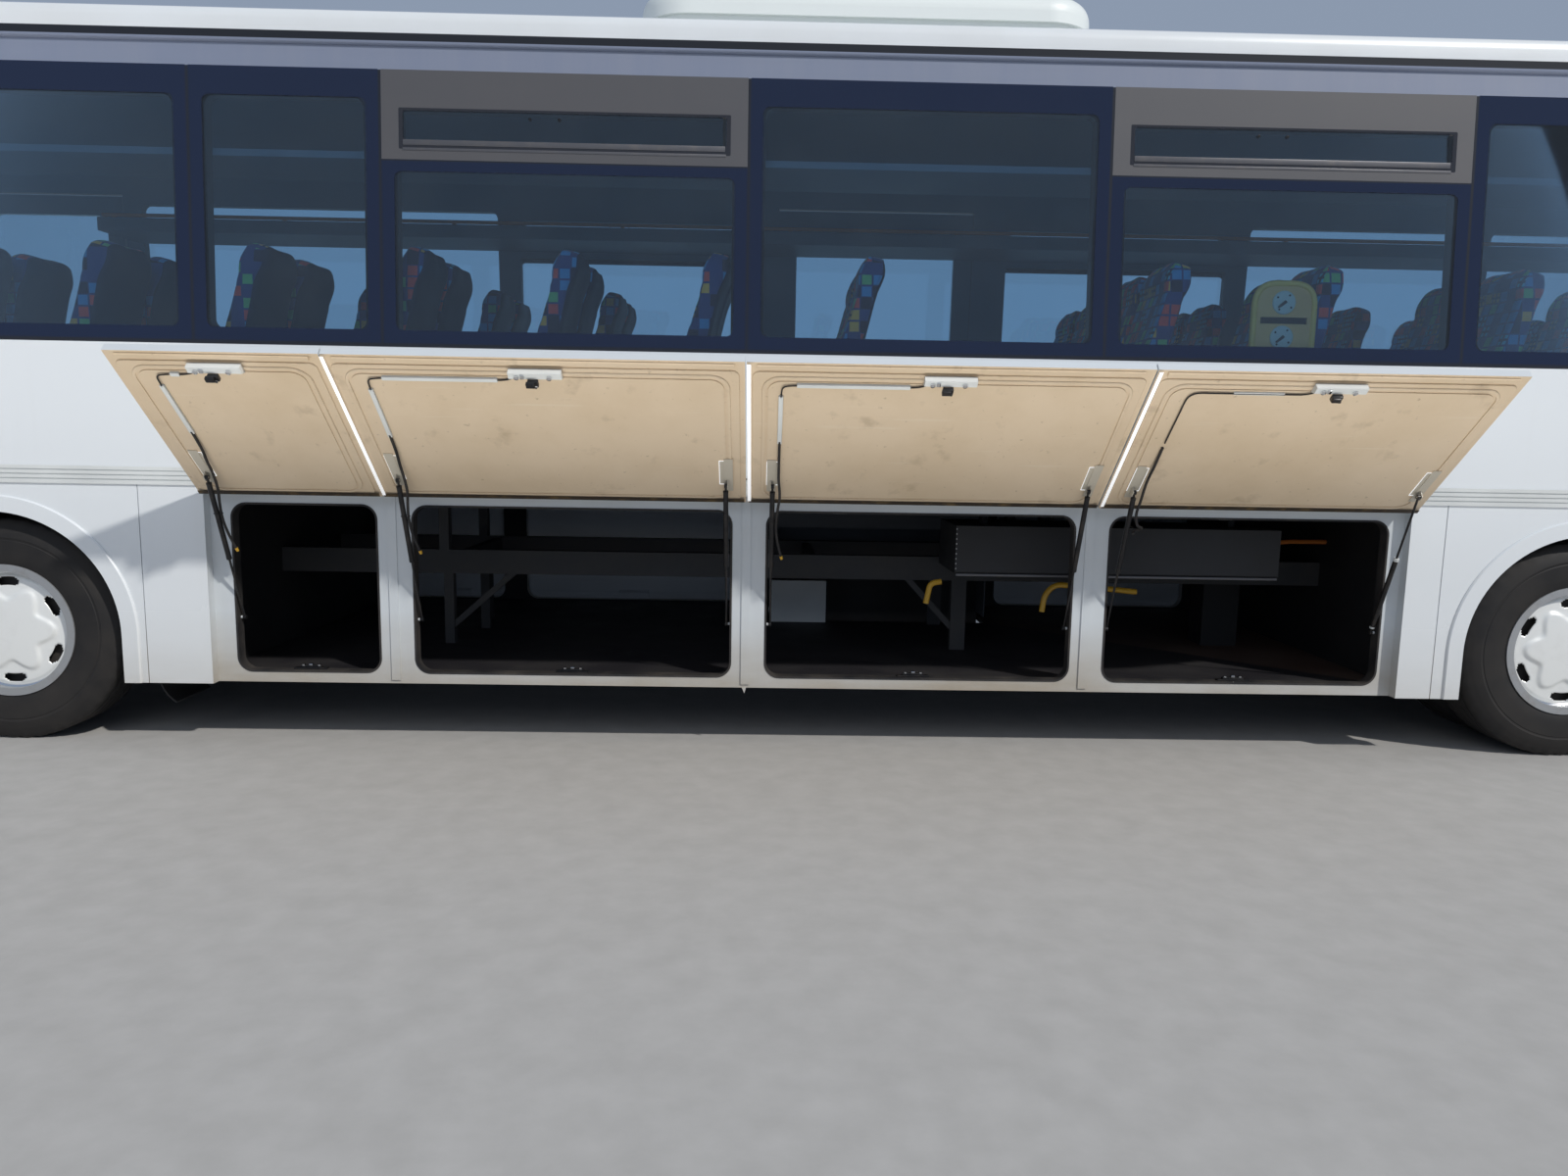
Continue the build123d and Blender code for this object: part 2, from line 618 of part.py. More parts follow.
def strut_tube(x):
    """Tube of a strut with its eye at the origin, drawn along +Y."""
    part = rod_x(0, 0, EYE_R, -EYE_HALF, EYE_HALF)
    part = part + rod_y(0, 0, TUBE_R, NECK, STRUT_SHUT - NECK)
    part = part + rod_y(0, 0, ROD_R, EYE_BORE_R + 2, NECK + 1)
    return Pos(x, 0, 0) * (part - rod_y(0, 0, TUBE_BORE_R, NECK + 14, STRUT_SHUT - NECK + 1))


def strut_rod(x):
    """Rod of a strut with its eye at the origin, drawn along +Y."""
    part = rod_x(0, 0, EYE_R, -EYE_HALF, EYE_HALF)
    return Pos(x, 0, 0) * (part + rod_y(0, 0, ROD_R, 2, STRUT_SHUT - NECK - 16))


def placed(part, start, end):
    """Turns a strut half drawn along +Y so that it runs from start to end."""
    angle = degrees(atan2(end[1] - start[1], end[0] - start[0]))
    return Pos(0, start[0], start[1]) * Rot(angle, 0, 0) * part


def strut_ear(x, way):
    """Channel plate, ear and pin that carry a strut on a closed door."""
    y, z = STRUT_DOOR_PIN
    near, far = x + way * (STRUT_IN - EAR[0]), x + way * (STRUT_IN - EAR[1])
    low, high = min(near, far), max(near, far)
    channel = block(low - 20, high + 14, DOOR_IN - 4, DOOR_IN + 2, z - 150, z + 60)
    ear = extrude(Plane.YZ.offset(low) * make_face(Polyline(
        (DOOR_IN + 2, z - EAR_LOW), (y - EYE_R, z - 12), (y - EYE_R, z + 12),
        (DOOR_IN + 2, z + 40),
        close=True)), amount=high - low, dir=(1, 0, 0))
    return channel + ear + rod_x(y, z, EYE_PIN_R, x - way * EYE_HALF, near)


for bay in BAYS:
    door = bay_door(bay)
    tops = []
    bottoms = []
    for x, way, flipped in strut_stations(bay):
        door = door + strut_ear(x, way)
        upper, lower = (strut_rod, strut_tube) if flipped else (strut_tube, strut_rod)
        bore = rod_x(0, 0, EYE_BORE_R, x - 20, x + 20)
        tops.append(placed(upper(x) - bore, PIN_OPEN, STRUT_FRAME_PIN))
        bottoms.append(placed(lower(x), STRUT_FRAME_PIN, PIN_OPEN))
    hinge_axis = Axis((0, HINGE_Y, HINGE_Z), (1, 0, 0))
    save("left_bay_door_" + bay.name, door.rotate(hinge_axis, DOOR_OPEN_DEG))
    save("left_strut_tops_" + bay.name, *tops)
    save("left_strut_bottoms_" + bay.name, *bottoms)
    if bay.on_right:
        save("right_bay_door_" + bay.name, mirror_y(bay_door(bay)))


def passenger_door(front, rear, lip):
    """A glazed door leaf that follows the body side; lip is the width of its rubber edges."""
    y0, y1 = WALL_IN - 200, HALF_W + 1
    z0, z1 = PASSENGER_DOOR_Z
    leaf = (outer - body_solid(DOOR_THICK, SKIRT_Z - 20)) & block(rear - lip, front + lip, 0, y1,
                                                                  z0, z1)
    light = rounded_y(rear + 110, front - 110, 1150, z1 - 120, 60, y0, y1)
    pane = skin & rounded_y(rear + 80, front - 80, 1120, z1 - 90, 80, y0, y1)
    low_light = rounded_y(rear + 110, front - 110, 560, 1040, 60, y0, y1)
    low_pane = skin & rounded_y(rear + 80, front - 80, 530, 1070, 80, y0, y1)
    return leaf - light - pane - low_light - low_pane, [pane, low_pane]


front_leaf, front_lights = passenger_door(*FRONT_DOOR, 0)
middle_leaf, middle_lights = passenger_door(*MIDDLE_DOOR, PASSENGER_GAP - SEAT_GAP)
for z in ARM_Z:
    pin_x = post_x - ARM_R
    hanger = block(pin_x - 30, pin_x + 30, DOOR_IN - ARM_PIN_IN, DOOR_IN + 1, z + 16, z + 24)
    hanger = hanger + rod_z(pin_x, DOOR_IN - ARM_PIN_IN, 18, z + 16, z + 24)
    hanger = hanger + rod_z(pin_x, DOOR_IN - ARM_PIN_IN, ARM_EYE_R - SEAT_GAP, z - 12, z + 17)
    front_leaf = front_leaf + hanger
save("front_door", mirror_y(front_leaf))
save("front_door_windows", *[mirror_y(pane) for pane in front_lights])
save("middle_door", mirror_y(middle_leaf))
save("side_windows", *left_sheets,
     *[mirror_y(sheet) for sheet in right_sheets + middle_lights])

# Swing arms of the front door: a post with two cranked arms, drawn with the door closed
pin_y = DOOR_IN - ARM_PIN_IN
closed_deg = degrees(atan2(pin_y - ARM_PIVOT_Y, -ARM_R))
open_y = pin_y + DOOR_SWING_OUT
open_deg = degrees(atan2(open_y - ARM_PIVOT_Y, (ARM_R ** 2 - (open_y - ARM_PIVOT_Y) ** 2) ** 0.5))
SWING_DEG = closed_deg - open_deg
reach = hypot(ARM_R, pin_y - ARM_PIVOT_Y)
elbow = Pos(reach * cos(radians(open_deg)), reach * sin(radians(open_deg)))
corner = (8.0, reach * sin(radians(open_deg)))
path = FilletPolyline((0, 0), corner, (reach * cos(radians(open_deg)), corner[1]), radius=60)
arms = []
for z in ARM_Z:
    section = Plane(origin=path @ 0, z_dir=path % 0) * Rectangle(12, 24)
    arm = sweep(section, path=path)
    end = path @ 1
    arm = arm + Pos(end.X, end.Y, 0) * Cylinder(17, 24) - Pos(end.X, end.Y, 0) * Cylinder(ARM_EYE_R, 40)
    arm = arm.rotate(Axis.Z, SWING_DEG)
    arms.append(Pos(post_x, ARM_PIVOT_Y, z) * arm)
post = rod_z(post_x, ARM_PIVOT_Y, 14, FLOOR_Z - 3 * STEP_RISE + SEAT_GAP, bearing_z - SEAT_GAP)
save("front_door_arms", mirror_y(join([post] + arms)))


# Wheels
def tyre(y):
    """One tyre, plain tread, centred on y."""
    side = TYRE_W / 2
    profile = make_face(Polyline(
        (RIM_R, -side + 15), (RIM_R + 60, -side), (TYRE_R - 60, -side), (TYRE_R - 6, -side + 30),
        (TYRE_R, -side + 45), (TYRE_R, side - 45), (TYRE_R - 6, side - 30), (TYRE_R - 60, side),
        (RIM_R + 60, side), (RIM_R, side - 15), close=True))
    return Pos(0, y, HUB_Z) * revolve(profile, Axis.Y)


def rim(y, disc_y, way):
    """Steel rim centred on y; its dished disc lies at disc_y with its flat side facing way."""
    half = TYRE_W / 2
    barrel = rod_y(0, 0, RIM_R, y - half + 6, y + half - 6)
    barrel = barrel + rod_y(0, 0, RIM_FLANGE_R, y - half + 2, y - half + 10)
    barrel = barrel + rod_y(0, 0, RIM_FLANGE_R, y + half - 10, y + half - 2)
    barrel = barrel - rod_y(0, 0, RIM_BORE_R, y - half, y + half)
    dish = make_face(Polyline(
        (RIM_BORE_R + 3, disc_y - way * 42), (DISH_R, disc_y), (60, disc_y),
        (60, disc_y - way * DISC_T), (DISH_R - 6, disc_y - way * DISC_T),
        (RIM_BORE_R + 3, disc_y - way * (42 + DISC_T)), close=True))
    disc = revolve(dish, Axis.Y)
    for step in range(HAND_HOLES):
        spot = Pos((DISH_R + RIM_BORE_R) / 2 - 4, 0, 0) * rod_y(0, 0, 20, disc_y - 80, disc_y + 80)
        disc = disc - spot.rotate(Axis.Y, step * 360 / HAND_HOLES)
    return barrel + disc


def wheel(axle_x, twin):
    """Tyres, and rims with hub and brake ring, of one wheel on the left side."""
    tyres = [tyre(TYRE_Y)]
    inner_y = TYRE_Y - TWIN_PITCH
    if twin:
        meet_y = (TYRE_Y + inner_y) / 2
        tyres.append(tyre(inner_y))
        metal = rim(TYRE_Y, meet_y, -1) + rim(inner_y, meet_y, 1)
        metal = metal + (rod_y(0, 0, DISH_R + 7, meet_y - 8, meet_y + 8)
                         - rod_y(0, 0, HUB_R - 20, meet_y - 9, meet_y + 9))
        drum_end = meet_y - DISC_T + 3
        metal = metal + (rod_y(0, 0, DRUM_R, DRUM_IN_Y, drum_end)
                         - rod_y(0, 0, DRUM_R - 50, DRUM_IN_Y - 1, drum_end + 1))
        hub_in = DRUM_IN_Y + 60
    else:
        metal = rim(TYRE_Y, TYRE_Y + 66, 1)
        hub_in = KINGPIN_Y + 84
        metal = metal + rod_y(0, 0, ROTOR_R, hub_in + 8, hub_in + 42)
    metal = metal + rod_y(0, 0, HUB_R, hub_in, TYRE_Y + 70) + rod_y(
        0, 0, HUB_R - 15, TYRE_Y + 60, TYRE_Y + 110)
    metal = metal - rod_y(0, 0, SPINDLE_R + 0.5, 0, SPINDLE_END_Y + 2)
    return [Pos(axle_x, 0, 0) * t for t in tyres], Pos(axle_x, 0, HUB_Z) * metal


for label, axle_x, twin in (("front", FRONT_AXLE_X, False), ("rear", REAR_AXLE_X, True)):
    tyres, metal = wheel(axle_x, twin)
    plural = "s" if twin else ""
    save(label + "_left_tyre" + plural, *tyres)
    save(label + "_left_rim" + plural, metal)
    save(label + "_right_tyre" + plural, *[mirror_y(t) for t in tyres])
    save(label + "_right_rim" + plural, mirror_y(metal))

# Axles, knuckles and springs
front_beam = block(FRONT_AXLE_X - BEAM_HALF, FRONT_AXLE_X + BEAM_HALF, -KINGPIN_Y + 30,
                   KINGPIN_Y - 30, *BEAM_Z)
front_beam = front_beam + block(FRONT_AXLE_X - JACK_PAD[0], FRONT_AXLE_X + JACK_PAD[0],
                                -JACK_PAD[1], JACK_PAD[1], BEAM_Z[0] - JACK_PAD[2], BEAM_Z[0] + 1)
for way in (-1, 1):
    front_beam = front_beam + rod_z(FRONT_AXLE_X, way * KINGPIN_Y, 50, *BEAM_Z)
    front_beam = front_beam - rod_z(FRONT_AXLE_X, way * KINGPIN_Y, KINGPIN_R + 0.5, 0, 1000)
knuckle = rod_z(FRONT_AXLE_X, KINGPIN_Y, KINGPIN_R, HUB_Z - 120, HUB_Z + 120)
for way in (-1, 1):
    knuckle = knuckle + rod_z(FRONT_AXLE_X, KINGPIN_Y, 50, HUB_Z + way * 60.3, HUB_Z + way * 110)
    knuckle = knuckle + block(FRONT_AXLE_X - 40, FRONT_AXLE_X + 40, KINGPIN_Y, KINGPIN_Y + 75,
                              HUB_Z + way * 66, HUB_Z + way * 108)
knuckle = knuckle + block(FRONT_AXLE_X - 45, FRONT_AXLE_X + 45, KINGPIN_Y + 56, KINGPIN_Y + 75,
                          HUB_Z - 108, HUB_Z + 108)
knuckle = knuckle + rod_y(FRONT_AXLE_X, HUB_Z, SPINDLE_R, KINGPIN_Y + 70, SPINDLE_END_Y)
rear_axle = rod_y(REAR_AXLE_X, HUB_Z, AXLE_R, -DRUM_IN_Y - 20, DRUM_IN_Y + 20)
rear_axle = rear_axle + rod_y(REAR_AXLE_X, HUB_Z, SPINDLE_R, -SPINDLE_END_Y, SPINDLE_END_Y)
rear_axle = rear_axle + Pos(REAR_AXLE_X, 0, HUB_Z) * Sphere(175)
for way in (-1, 1):
    rear_axle = rear_axle + rod_y(REAR_AXLE_X, HUB_Z, DRUM_R, way * (DRUM_IN_Y - 20),
                                  way * (DRUM_IN_Y - 8))
    rear_axle = rear_axle + block(REAR_AXLE_X - REAR_SPRING_X - 60, REAR_AXLE_X + REAR_SPRING_X + 60,
                                  way * (RAIL_Y - 45), way * (RAIL_Y + 45), HUB_Z + 40, HUB_Z + 85)
springs = []
for way in (-1, 1):
    spots = ((FRONT_AXLE_X, BEAM_Z[1]), (REAR_AXLE_X - REAR_SPRING_X, HUB_Z + 85),
             (REAR_AXLE_X + REAR_SPRING_X, HUB_Z + 85))
    for x, z in spots:
        middle = (z + RAIL_Z[0]) / 2
        spring = rod_z(x, way * RAIL_Y, SPRING_R * 0.7, z, RAIL_Z[0])
        spring = spring + rod_z(x, way * RAIL_Y, SPRING_R, z + 12, middle - 6)
        springs.append(spring + rod_z(x, way * RAIL_Y, SPRING_R, middle + 6, RAIL_Z[0] - 12))
save("front_axle", front_beam)
save("rear_axle", rear_axle)
save("air_springs", *springs)
save("left_knuckle", knuckle)
save("right_knuckle", mirror_y(knuckle))

# Chassis frame: rails, cross members under the cabin floor, posts in the luggage bays


class Post(NamedTuple):
    """An upright between the bay floor and a rail or tie."""
    x: float
    y: float
    half_x: float


POSTS = (Post(2116.0, RAIL_Y, 25.0), Post(2045.0, -67.0, 25.0), Post(-590.0, RAIL_Y, 40.0),
         Post(-590.0, -RAIL_Y, 40.0), Post(2116.0, -RAIL_Y, 25.0))
frame_parts = []
for way in (-1, 1):
    frame_parts.append(block(*RAIL_X, way * (RAIL_Y - RAIL_HALF), way * (RAIL_Y + RAIL_HALF),
                             *RAIL_Z))
    for x in CROSS_X:
        frame_parts.append(block(x - POST_HALF, x + POST_HALF, way * (RAIL_Y - RAIL_HALF),
                                 way * (RAIL_Y + RAIL_HALF), RAIL_Z[1] - 1, DECK_Z - 1))
for x in CROSS_X:
    frame_parts.append(block(x - POST_HALF, x + POST_HALF, -FRAME_IN, FRAME_IN,
                             DECK_Z - CROSS_DEPTH, DECK_Z))
for x in RAIL_TIE_X:
    frame_parts.append(block(x - POST_HALF, x + POST_HALF, -RAIL_Y, RAIL_Y, RAIL_Z[0] + 40,
                             RAIL_Z[1] - 10))
for post in POSTS:
    frame_parts.append(block(post.x - post.half_x, post.x + post.half_x, post.y - POST_HALF,
                             post.y + POST_HALF, TRAY_Z[1], RAIL_Z[0] + 50))
for foot_x, foot_z, head_x in BRACES:
    frame_parts.append(bar((foot_x, RAIL_Y, foot_z), (head_x, RAIL_Y, RAIL_Z[0] + 20), 30, 30))


def well(front, rear):
    """Space of one stairwell, cut from the floor and the cross members."""
    return block(rear - WELL_SIDE, front + WELL_SIDE, -WALL_IN - 1, -WELL_Y, 0, FLOOR_Z + 1)


wells = well(*FRONT_DOOR) + well(*MIDDLE_DOOR)
save("chassis_frame", join(frame_parts) - wells)

# Cabin floor with the stairwells
deck = block(REAR_SPLIT_X, FRONT_SPLIT_X, -FRAME_IN, FRAME_IN, DECK_Z, FLOOR_Z) - wells
tread = (FRAME_IN - WELL_Y) / STEPS
for front, rear in (FRONT_DOOR, MIDDLE_DOOR):
    for step in range(STEPS):
        top = FLOOR_Z - (step + 1) * STEP_RISE
        y_in = -WELL_Y - step * tread
        y_out = -FRAME_IN if step < STEPS - 1 else -DOOR_IN + FRAME_GAP
        y_end = y_in - tread if step < STEPS - 1 else y_out
        x0, x1 = rear - WELL_SIDE, front + WELL_SIDE
        if step == STEPS - 1:
            deck = deck + block(rear + 2, front - 2, -FRAME_IN + 1, y_end, top - TREAD_T, top)
            y_end = -FRAME_IN
        deck = deck + block(x0, x1, y_end, y_in, top - TREAD_T, top)
        deck = deck + block(x0, x1, y_in - SIDE_T, y_in, top - TREAD_T, top + STEP_RISE)
    low = FLOOR_Z - STEPS * STEP_RISE - TREAD_T
    deck = deck + block(rear - WELL_SIDE, rear - WELL_SIDE + SIDE_T, -FRAME_IN, -WELL_Y, low,
                        FLOOR_Z)
    deck = deck + block(front + WELL_SIDE - SIDE_T, front + WELL_SIDE, -FRAME_IN, -WELL_Y, low,
                        FLOOR_Z)
save("cabin_floor", deck)

# Floor and bulkheads of the luggage bays, and the boxes that stand or hang in them
bulk_front_x = BAY_FRONT_X + 60
bulk_rear_x = BAY_REAR_X - 60
tray = block(bulk_rear_x, bulk_front_x, -FRAME_IN, FRAME_IN, *TRAY_Z)
for x in (bulk_front_x - 20, bulk_rear_x):
    tray = tray + block(x, x + 20, -FRAME_IN, FRAME_IN, TRAY_Z[0], DECK_Z)
tray = tray - block(MIDDLE_DOOR[1] - WELL_SIDE, MIDDLE_DOOR[0] + WELL_SIDE, -FRAME_IN - 1,
                    -WELL_Y, 0, DECK_Z)
for way in (-1, 1):
    tray = tray - block(-9000, 9000, way * (RAIL_Y - RAIL_HALF), way * (RAIL_Y + RAIL_HALF),
                        *RAIL_Z)
save("bay_floor", tray)
duct = block(-2060.0, -475.0, 450.0, 925.0, 795.0, 1030.0)
duct = chamfer([e for e in duct.edges().filter_by(Axis.X) if e.center().Z < 800], 12)
hangers = join([block(x - 15, x + 15, 660, 720, 1029, DECK_Z - (CROSS_DEPTH if x == -1034 else 0))
                for x in (-1900.0, -650.0)])
heater = block(70.0, 410.0, -WELL_Y + 5, -WELL_Y + 60, TRAY_Z[1], 580.0)
locker = block(-2200.0, -2000.0, 20.0, 200.0, TRAY_Z[1], 750.0)
save("bay_fittings", duct + hangers, heater, locker)

# Engine and gearbox as one plain block between the rails
save("engine", block(-6150.0, -4950.0, -RAIL_Y + RAIL_HALF, RAIL_Y - RAIL_HALF, 470.0, 1090.0))

# Wheel housings with mud flaps behind the wheels


def housing(axle_x, radius, hole_r):
    """Half-round box over one left wheel, open to the axle, with its mud flap."""
    outside = rod_y(axle_x, HUB_Z, radius, HOUSING_IN, WALL_IN)
    inside = rod_y(axle_x, HUB_Z, radius - HOUSING_T, HOUSING_IN + HOUSING_T, WALL_IN + 1)
    low = SKIRT_Z + 30
    keep = block(axle_x - radius, axle_x + radius, HOUSING_IN, WALL_IN, low,
                 DECK_Z - CROSS_DEPTH - 2)
    lower = block(axle_x - radius, axle_x + radius, HOUSING_IN, WALL_IN, low, HUB_Z)
    hollow = block(axle_x - radius + HOUSING_T, axle_x + radius - HOUSING_T,
                   HOUSING_IN + HOUSING_T, WALL_IN + 1, 0, HUB_Z)
    box = ((outside + lower) & keep) - inside - hollow
    box = box - rod_y(axle_x, HUB_Z, hole_r, HOUSING_IN - 50, HOUSING_IN + 50)
    box = box - block(axle_x - hole_r, axle_x + hole_r, HOUSING_IN - 50, HOUSING_IN + 50, 0, HUB_Z)
    flap_x = axle_x - radius
    flap = make_face([
        Line((flap_x, low + 40), (flap_x - 8, low + 40)),
        ThreePointArc((flap_x - 8, low + 40), (flap_x - 18, low - 70), (flap_x - 78, low - 140)),
        Line((flap_x - 78, low - 140), (flap_x - 72, low - 146)),
        ThreePointArc((flap_x - 72, low - 146), (flap_x - 11, low - 73), (flap_x, low + 40)),
    ])
    plane = Plane(origin=(0, TYRE_Y - FLAP_W * 0.71, 0), x_dir=(1, 0, 0), z_dir=(0, -1, 0))
    return box + extrude(plane * flap, amount=FLAP_W, dir=(0, 1, 0))


front_housing = housing(FRONT_AXLE_X, ARCH_R + HOUSING_SLACK[0], 130.0)
rear_housing = housing(REAR_AXLE_X, ARCH_R + HOUSING_SLACK[1], 240.0)
save("wheel_housings", front_housing, rear_housing, mirror_y(front_housing),
     mirror_y(rear_housing))

# Seats: x of the top of each row's backs, and whether the row stands on the right side too


class Row(NamedTuple):
    """One row of seats across the coach."""
    x_back: float
    on_left: bool
    on_right: bool


ROWS = (
    Row(4050.0, True, False), Row(3400.0, True, True), Row(2714.0, True, True),
    Row(2003.0, True, True), Row(1324.0, True, True), Row(651.0, True, False),
    Row(-52.0, True, False), Row(-1447.0, True, False), Row(-1540.0, False, True),
    Row(-2147.0, True, False), Row(-2220.0, False, True), Row(-3074.0, True, True),
    Row(-3780.0, True, True), Row(-4480.0, True, True), Row(-5180.0, True, True),
)


def seat(x, y0, y1):
    """Cushion and back of one seat; x is at the top of the back."""
    cushion = block(x + 120, x + 130 + SEAT_DEPTH, y0, y1, FLOOR_Z + CUSHION_H - 110,
                    FLOOR_Z + CUSHION_H)
    profile = make_face(Polyline(
        (x + 125, FLOOR_Z + CUSHION_H), (x + 225, FLOOR_Z + CUSHION_H),
        (x + 60, FLOOR_Z + BACK_H), (x - 40, FLOOR_Z + BACK_H), close=True))
    back = extrude(Plane.XZ.offset(-y0) * profile, amount=y1 - y0, dir=(0, 1, 0))
    return [cushion, back]


def seat_frame(x, y0, y1):
    """Pedestal and pan under the seats between y0 and y1."""
    mid = (y0 + y1) / 2
    pan_z = FLOOR_Z + CUSHION_H - 110
    return (block(x + 200, x + 560, mid - 30, mid + 30, FLOOR_Z, pan_z - 19)
            + block(x + 130, x + 110 + SEAT_DEPTH, y0 + 20, y1 - 20, pan_z - 20, pan_z))


cushions, frames = [], []
for row in ROWS:
    for side, present in ((1, row.on_left), (-1, row.on_right)):
        if present:
            for place in range(2):
                near = AISLE + place * (SEAT_W + 10)
                y0, y1 = sorted((side * near, side * (near + SEAT_W)))
                cushions.extend(seat(row.x_back, y0, y1))
            y0, y1 = sorted((side * AISLE, side * (AISLE + 2 * SEAT_W + 10)))
            frames.append(seat_frame(row.x_back, y0, y1))
cushions.extend(seat(DRIVER_X, 360.0, 840.0))
frames.append(seat_frame(DRIVER_X, 360.0, 840.0))
save("seat_cushions", *cushions)
save("seat_frames", *frames)

# Folding backrest of the wheelchair place, stowed flat on the left wall
loop = FilletPolyline((REST_X[0], REST_Y, REST_Z[0]), (REST_X[0], REST_Y, REST_Z[1]),
                      (REST_X[1], REST_Y, REST_Z[1]), (REST_X[1], REST_Y, REST_Z[0]), radius=90)
tube = sweep(Plane(origin=loop @ 0, z_dir=loop % 0) * Circle(REST_TUBE_R), path=loop)
panel = rounded_y(REST_X[1] + 6, REST_X[0] - 6, REST_Z[0] + 10, REST_Z[1] - 6, 80, REST_Y - 8,
                  REST_Y + 8)
slot = rounded_y(REST_X[1] + 60, REST_X[0] - 60, REST_Z[1] - 240, REST_Z[1] - 200, 6,
                 REST_Y - 20, REST_Y + 20)
clamps = [block(x - 20, x + 20, REST_Y, WALL_IN, z, z + 30) for x in REST_X
          for z in (REST_Z[0] + 30, REST_Z[0] + 150)]
save("wheelchair_backrest", join([tube + (panel - slot)] + clamps))

# Dashboard with a bore for the steering column, and the steering wheel
dash = body_solid(WALL + 12, FLOOR_Z) & block(5800.0, NOSE_X, -FRAME_IN, FRAME_IN, FLOOR_Z,
                                              FLOOR_Z + DASH_H)
binnacle = block(5530.0, 5801.0, 240.0, 960.0, FLOOR_Z + 130, FLOOR_Z + DASH_H + 20)
binnacle = fillet(binnacle.edges().filter_by(Axis.Y), 40)
steer_plane = Plane(origin=(5420, 600, FLOOR_Z + 560), z_dir=(-0.5, 0, 0.866))
dash = dash + binnacle - steer_plane * (Pos(0, 0, -150) * Cylinder(COLUMN_R + SEAT_GAP, 320))
steering = steer_plane * (Torus(225, 16) + Cylinder(60, 30) + Box(430, 30, 14)
                          + Pos(0, 0, -150) * Cylinder(COLUMN_R, 300))
save("dashboard", dash)
save("steering_wheel", steering)

# Luggage racks along both sides
rack = block(REAR_SPLIT_X + 100, 4500, RACK_Y, HALF_W, RACK_Z[0], RACK_Z[1])
rack = rack + block(REAR_SPLIT_X + 100, 4500, RACK_Y - 12, RACK_Y + 12, RACK_Z[0], RACK_Z[2])
rack = fillet([e for e in rack.edges().filter_by(Axis.X) if e.center().Z > RACK_Z[1] + 5], 11)
rack = rack & wall_in
save("luggage_racks", rack, mirror_y(rack))

# Mirrors on arms from above the windscreen
mirrors = []
arm_path = FilletPolyline(
    (NOSE_X - 310, HALF_W - 275, 2985), (NOSE_X - 20, HALF_W - 245, 2990),
    (NOSE_X + 65, HALF_W + 55, 2940), (NOSE_X + 65, HALF_W + 125, 2440), radius=60)
head = block(*MIRROR)
head = fillet(head.edges(), MIRROR_EDGE_R)
for flip in (False, True):
    arm = sweep(Plane(origin=arm_path @ 0, z_dir=arm_path % 0) * Circle(MIRROR_ARM_R), path=arm_path)
    mirror_part = (arm + head) - outer
    mirrors.append(mirror_y(mirror_part) if flip else mirror_part)
save("mirrors", *mirrors)
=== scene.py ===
"""Looks of the intercity coach: finishes, trim, seats, wheels, cables and the studio.

Everything is in metres in the coach's own frame: X forward, Y to its left, Z up.
"""

import logging
import math
from dataclasses import dataclass, field
from enum import Enum
from typing import Callable, Iterable, Optional, Sequence

import bmesh
import bpy
from mathutils import Matrix, Vector

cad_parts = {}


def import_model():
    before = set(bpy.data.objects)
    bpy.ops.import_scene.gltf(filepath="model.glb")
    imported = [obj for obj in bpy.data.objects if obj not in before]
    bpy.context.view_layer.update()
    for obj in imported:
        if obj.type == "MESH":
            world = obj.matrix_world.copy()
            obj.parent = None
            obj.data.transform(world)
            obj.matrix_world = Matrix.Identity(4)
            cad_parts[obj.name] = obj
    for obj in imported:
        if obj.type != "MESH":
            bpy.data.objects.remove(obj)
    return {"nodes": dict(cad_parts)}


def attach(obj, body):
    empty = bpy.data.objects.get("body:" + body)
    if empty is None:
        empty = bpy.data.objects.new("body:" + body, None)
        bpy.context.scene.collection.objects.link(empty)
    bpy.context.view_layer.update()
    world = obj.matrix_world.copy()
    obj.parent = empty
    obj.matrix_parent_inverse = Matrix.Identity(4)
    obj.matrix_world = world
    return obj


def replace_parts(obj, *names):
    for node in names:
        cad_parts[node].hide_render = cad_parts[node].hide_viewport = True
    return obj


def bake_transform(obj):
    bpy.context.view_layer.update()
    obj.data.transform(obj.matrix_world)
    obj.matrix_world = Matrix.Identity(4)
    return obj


log = logging.getLogger("coach")
Point = tuple[float, float, float]
Colour = tuple[float, float, float]
Pair = tuple[float, float]
Rect = tuple[float, float, float, float]
Socket = bpy.types.NodeSocket

HINGE = (1.2803, 1.173)
DOOR_OPEN = math.radians(130.8)
FRAME_PIN = (1.185, 0.580)
DOOR_PIN = (1.205, 1.003)
HALF_WIDTH = 1.275
BELT_Z = 1.816
GUTTER_Z = 3.060
SIDE_LEAN = 0.070
HUB_Z = 0.510
FRONT_AXLE_X = 3.880
REAR_AXLE_X = -3.320
FLOOR_Z = 1.200
FRONT_STRUT_IN = 0.112
REAR_STRUT_IN = 0.089


class Side(Enum):
    """Left or right side of the coach, as the sign of Y."""

    LEFT = 1
    RIGHT = -1


def lean_y(z: float, inset: float = 0.0) -> float:
    """Half width of the body at a height.

    Args:
        z: Height above the ground.
        inset: Distance inwards from the outer face.

    Returns:
        Distance of that face from the centreline.
    """
    lean = SIDE_LEAN * (z - BELT_Z) / (GUTTER_Z - BELT_Z)
    return HALF_WIDTH - inset - max(0.0, lean)


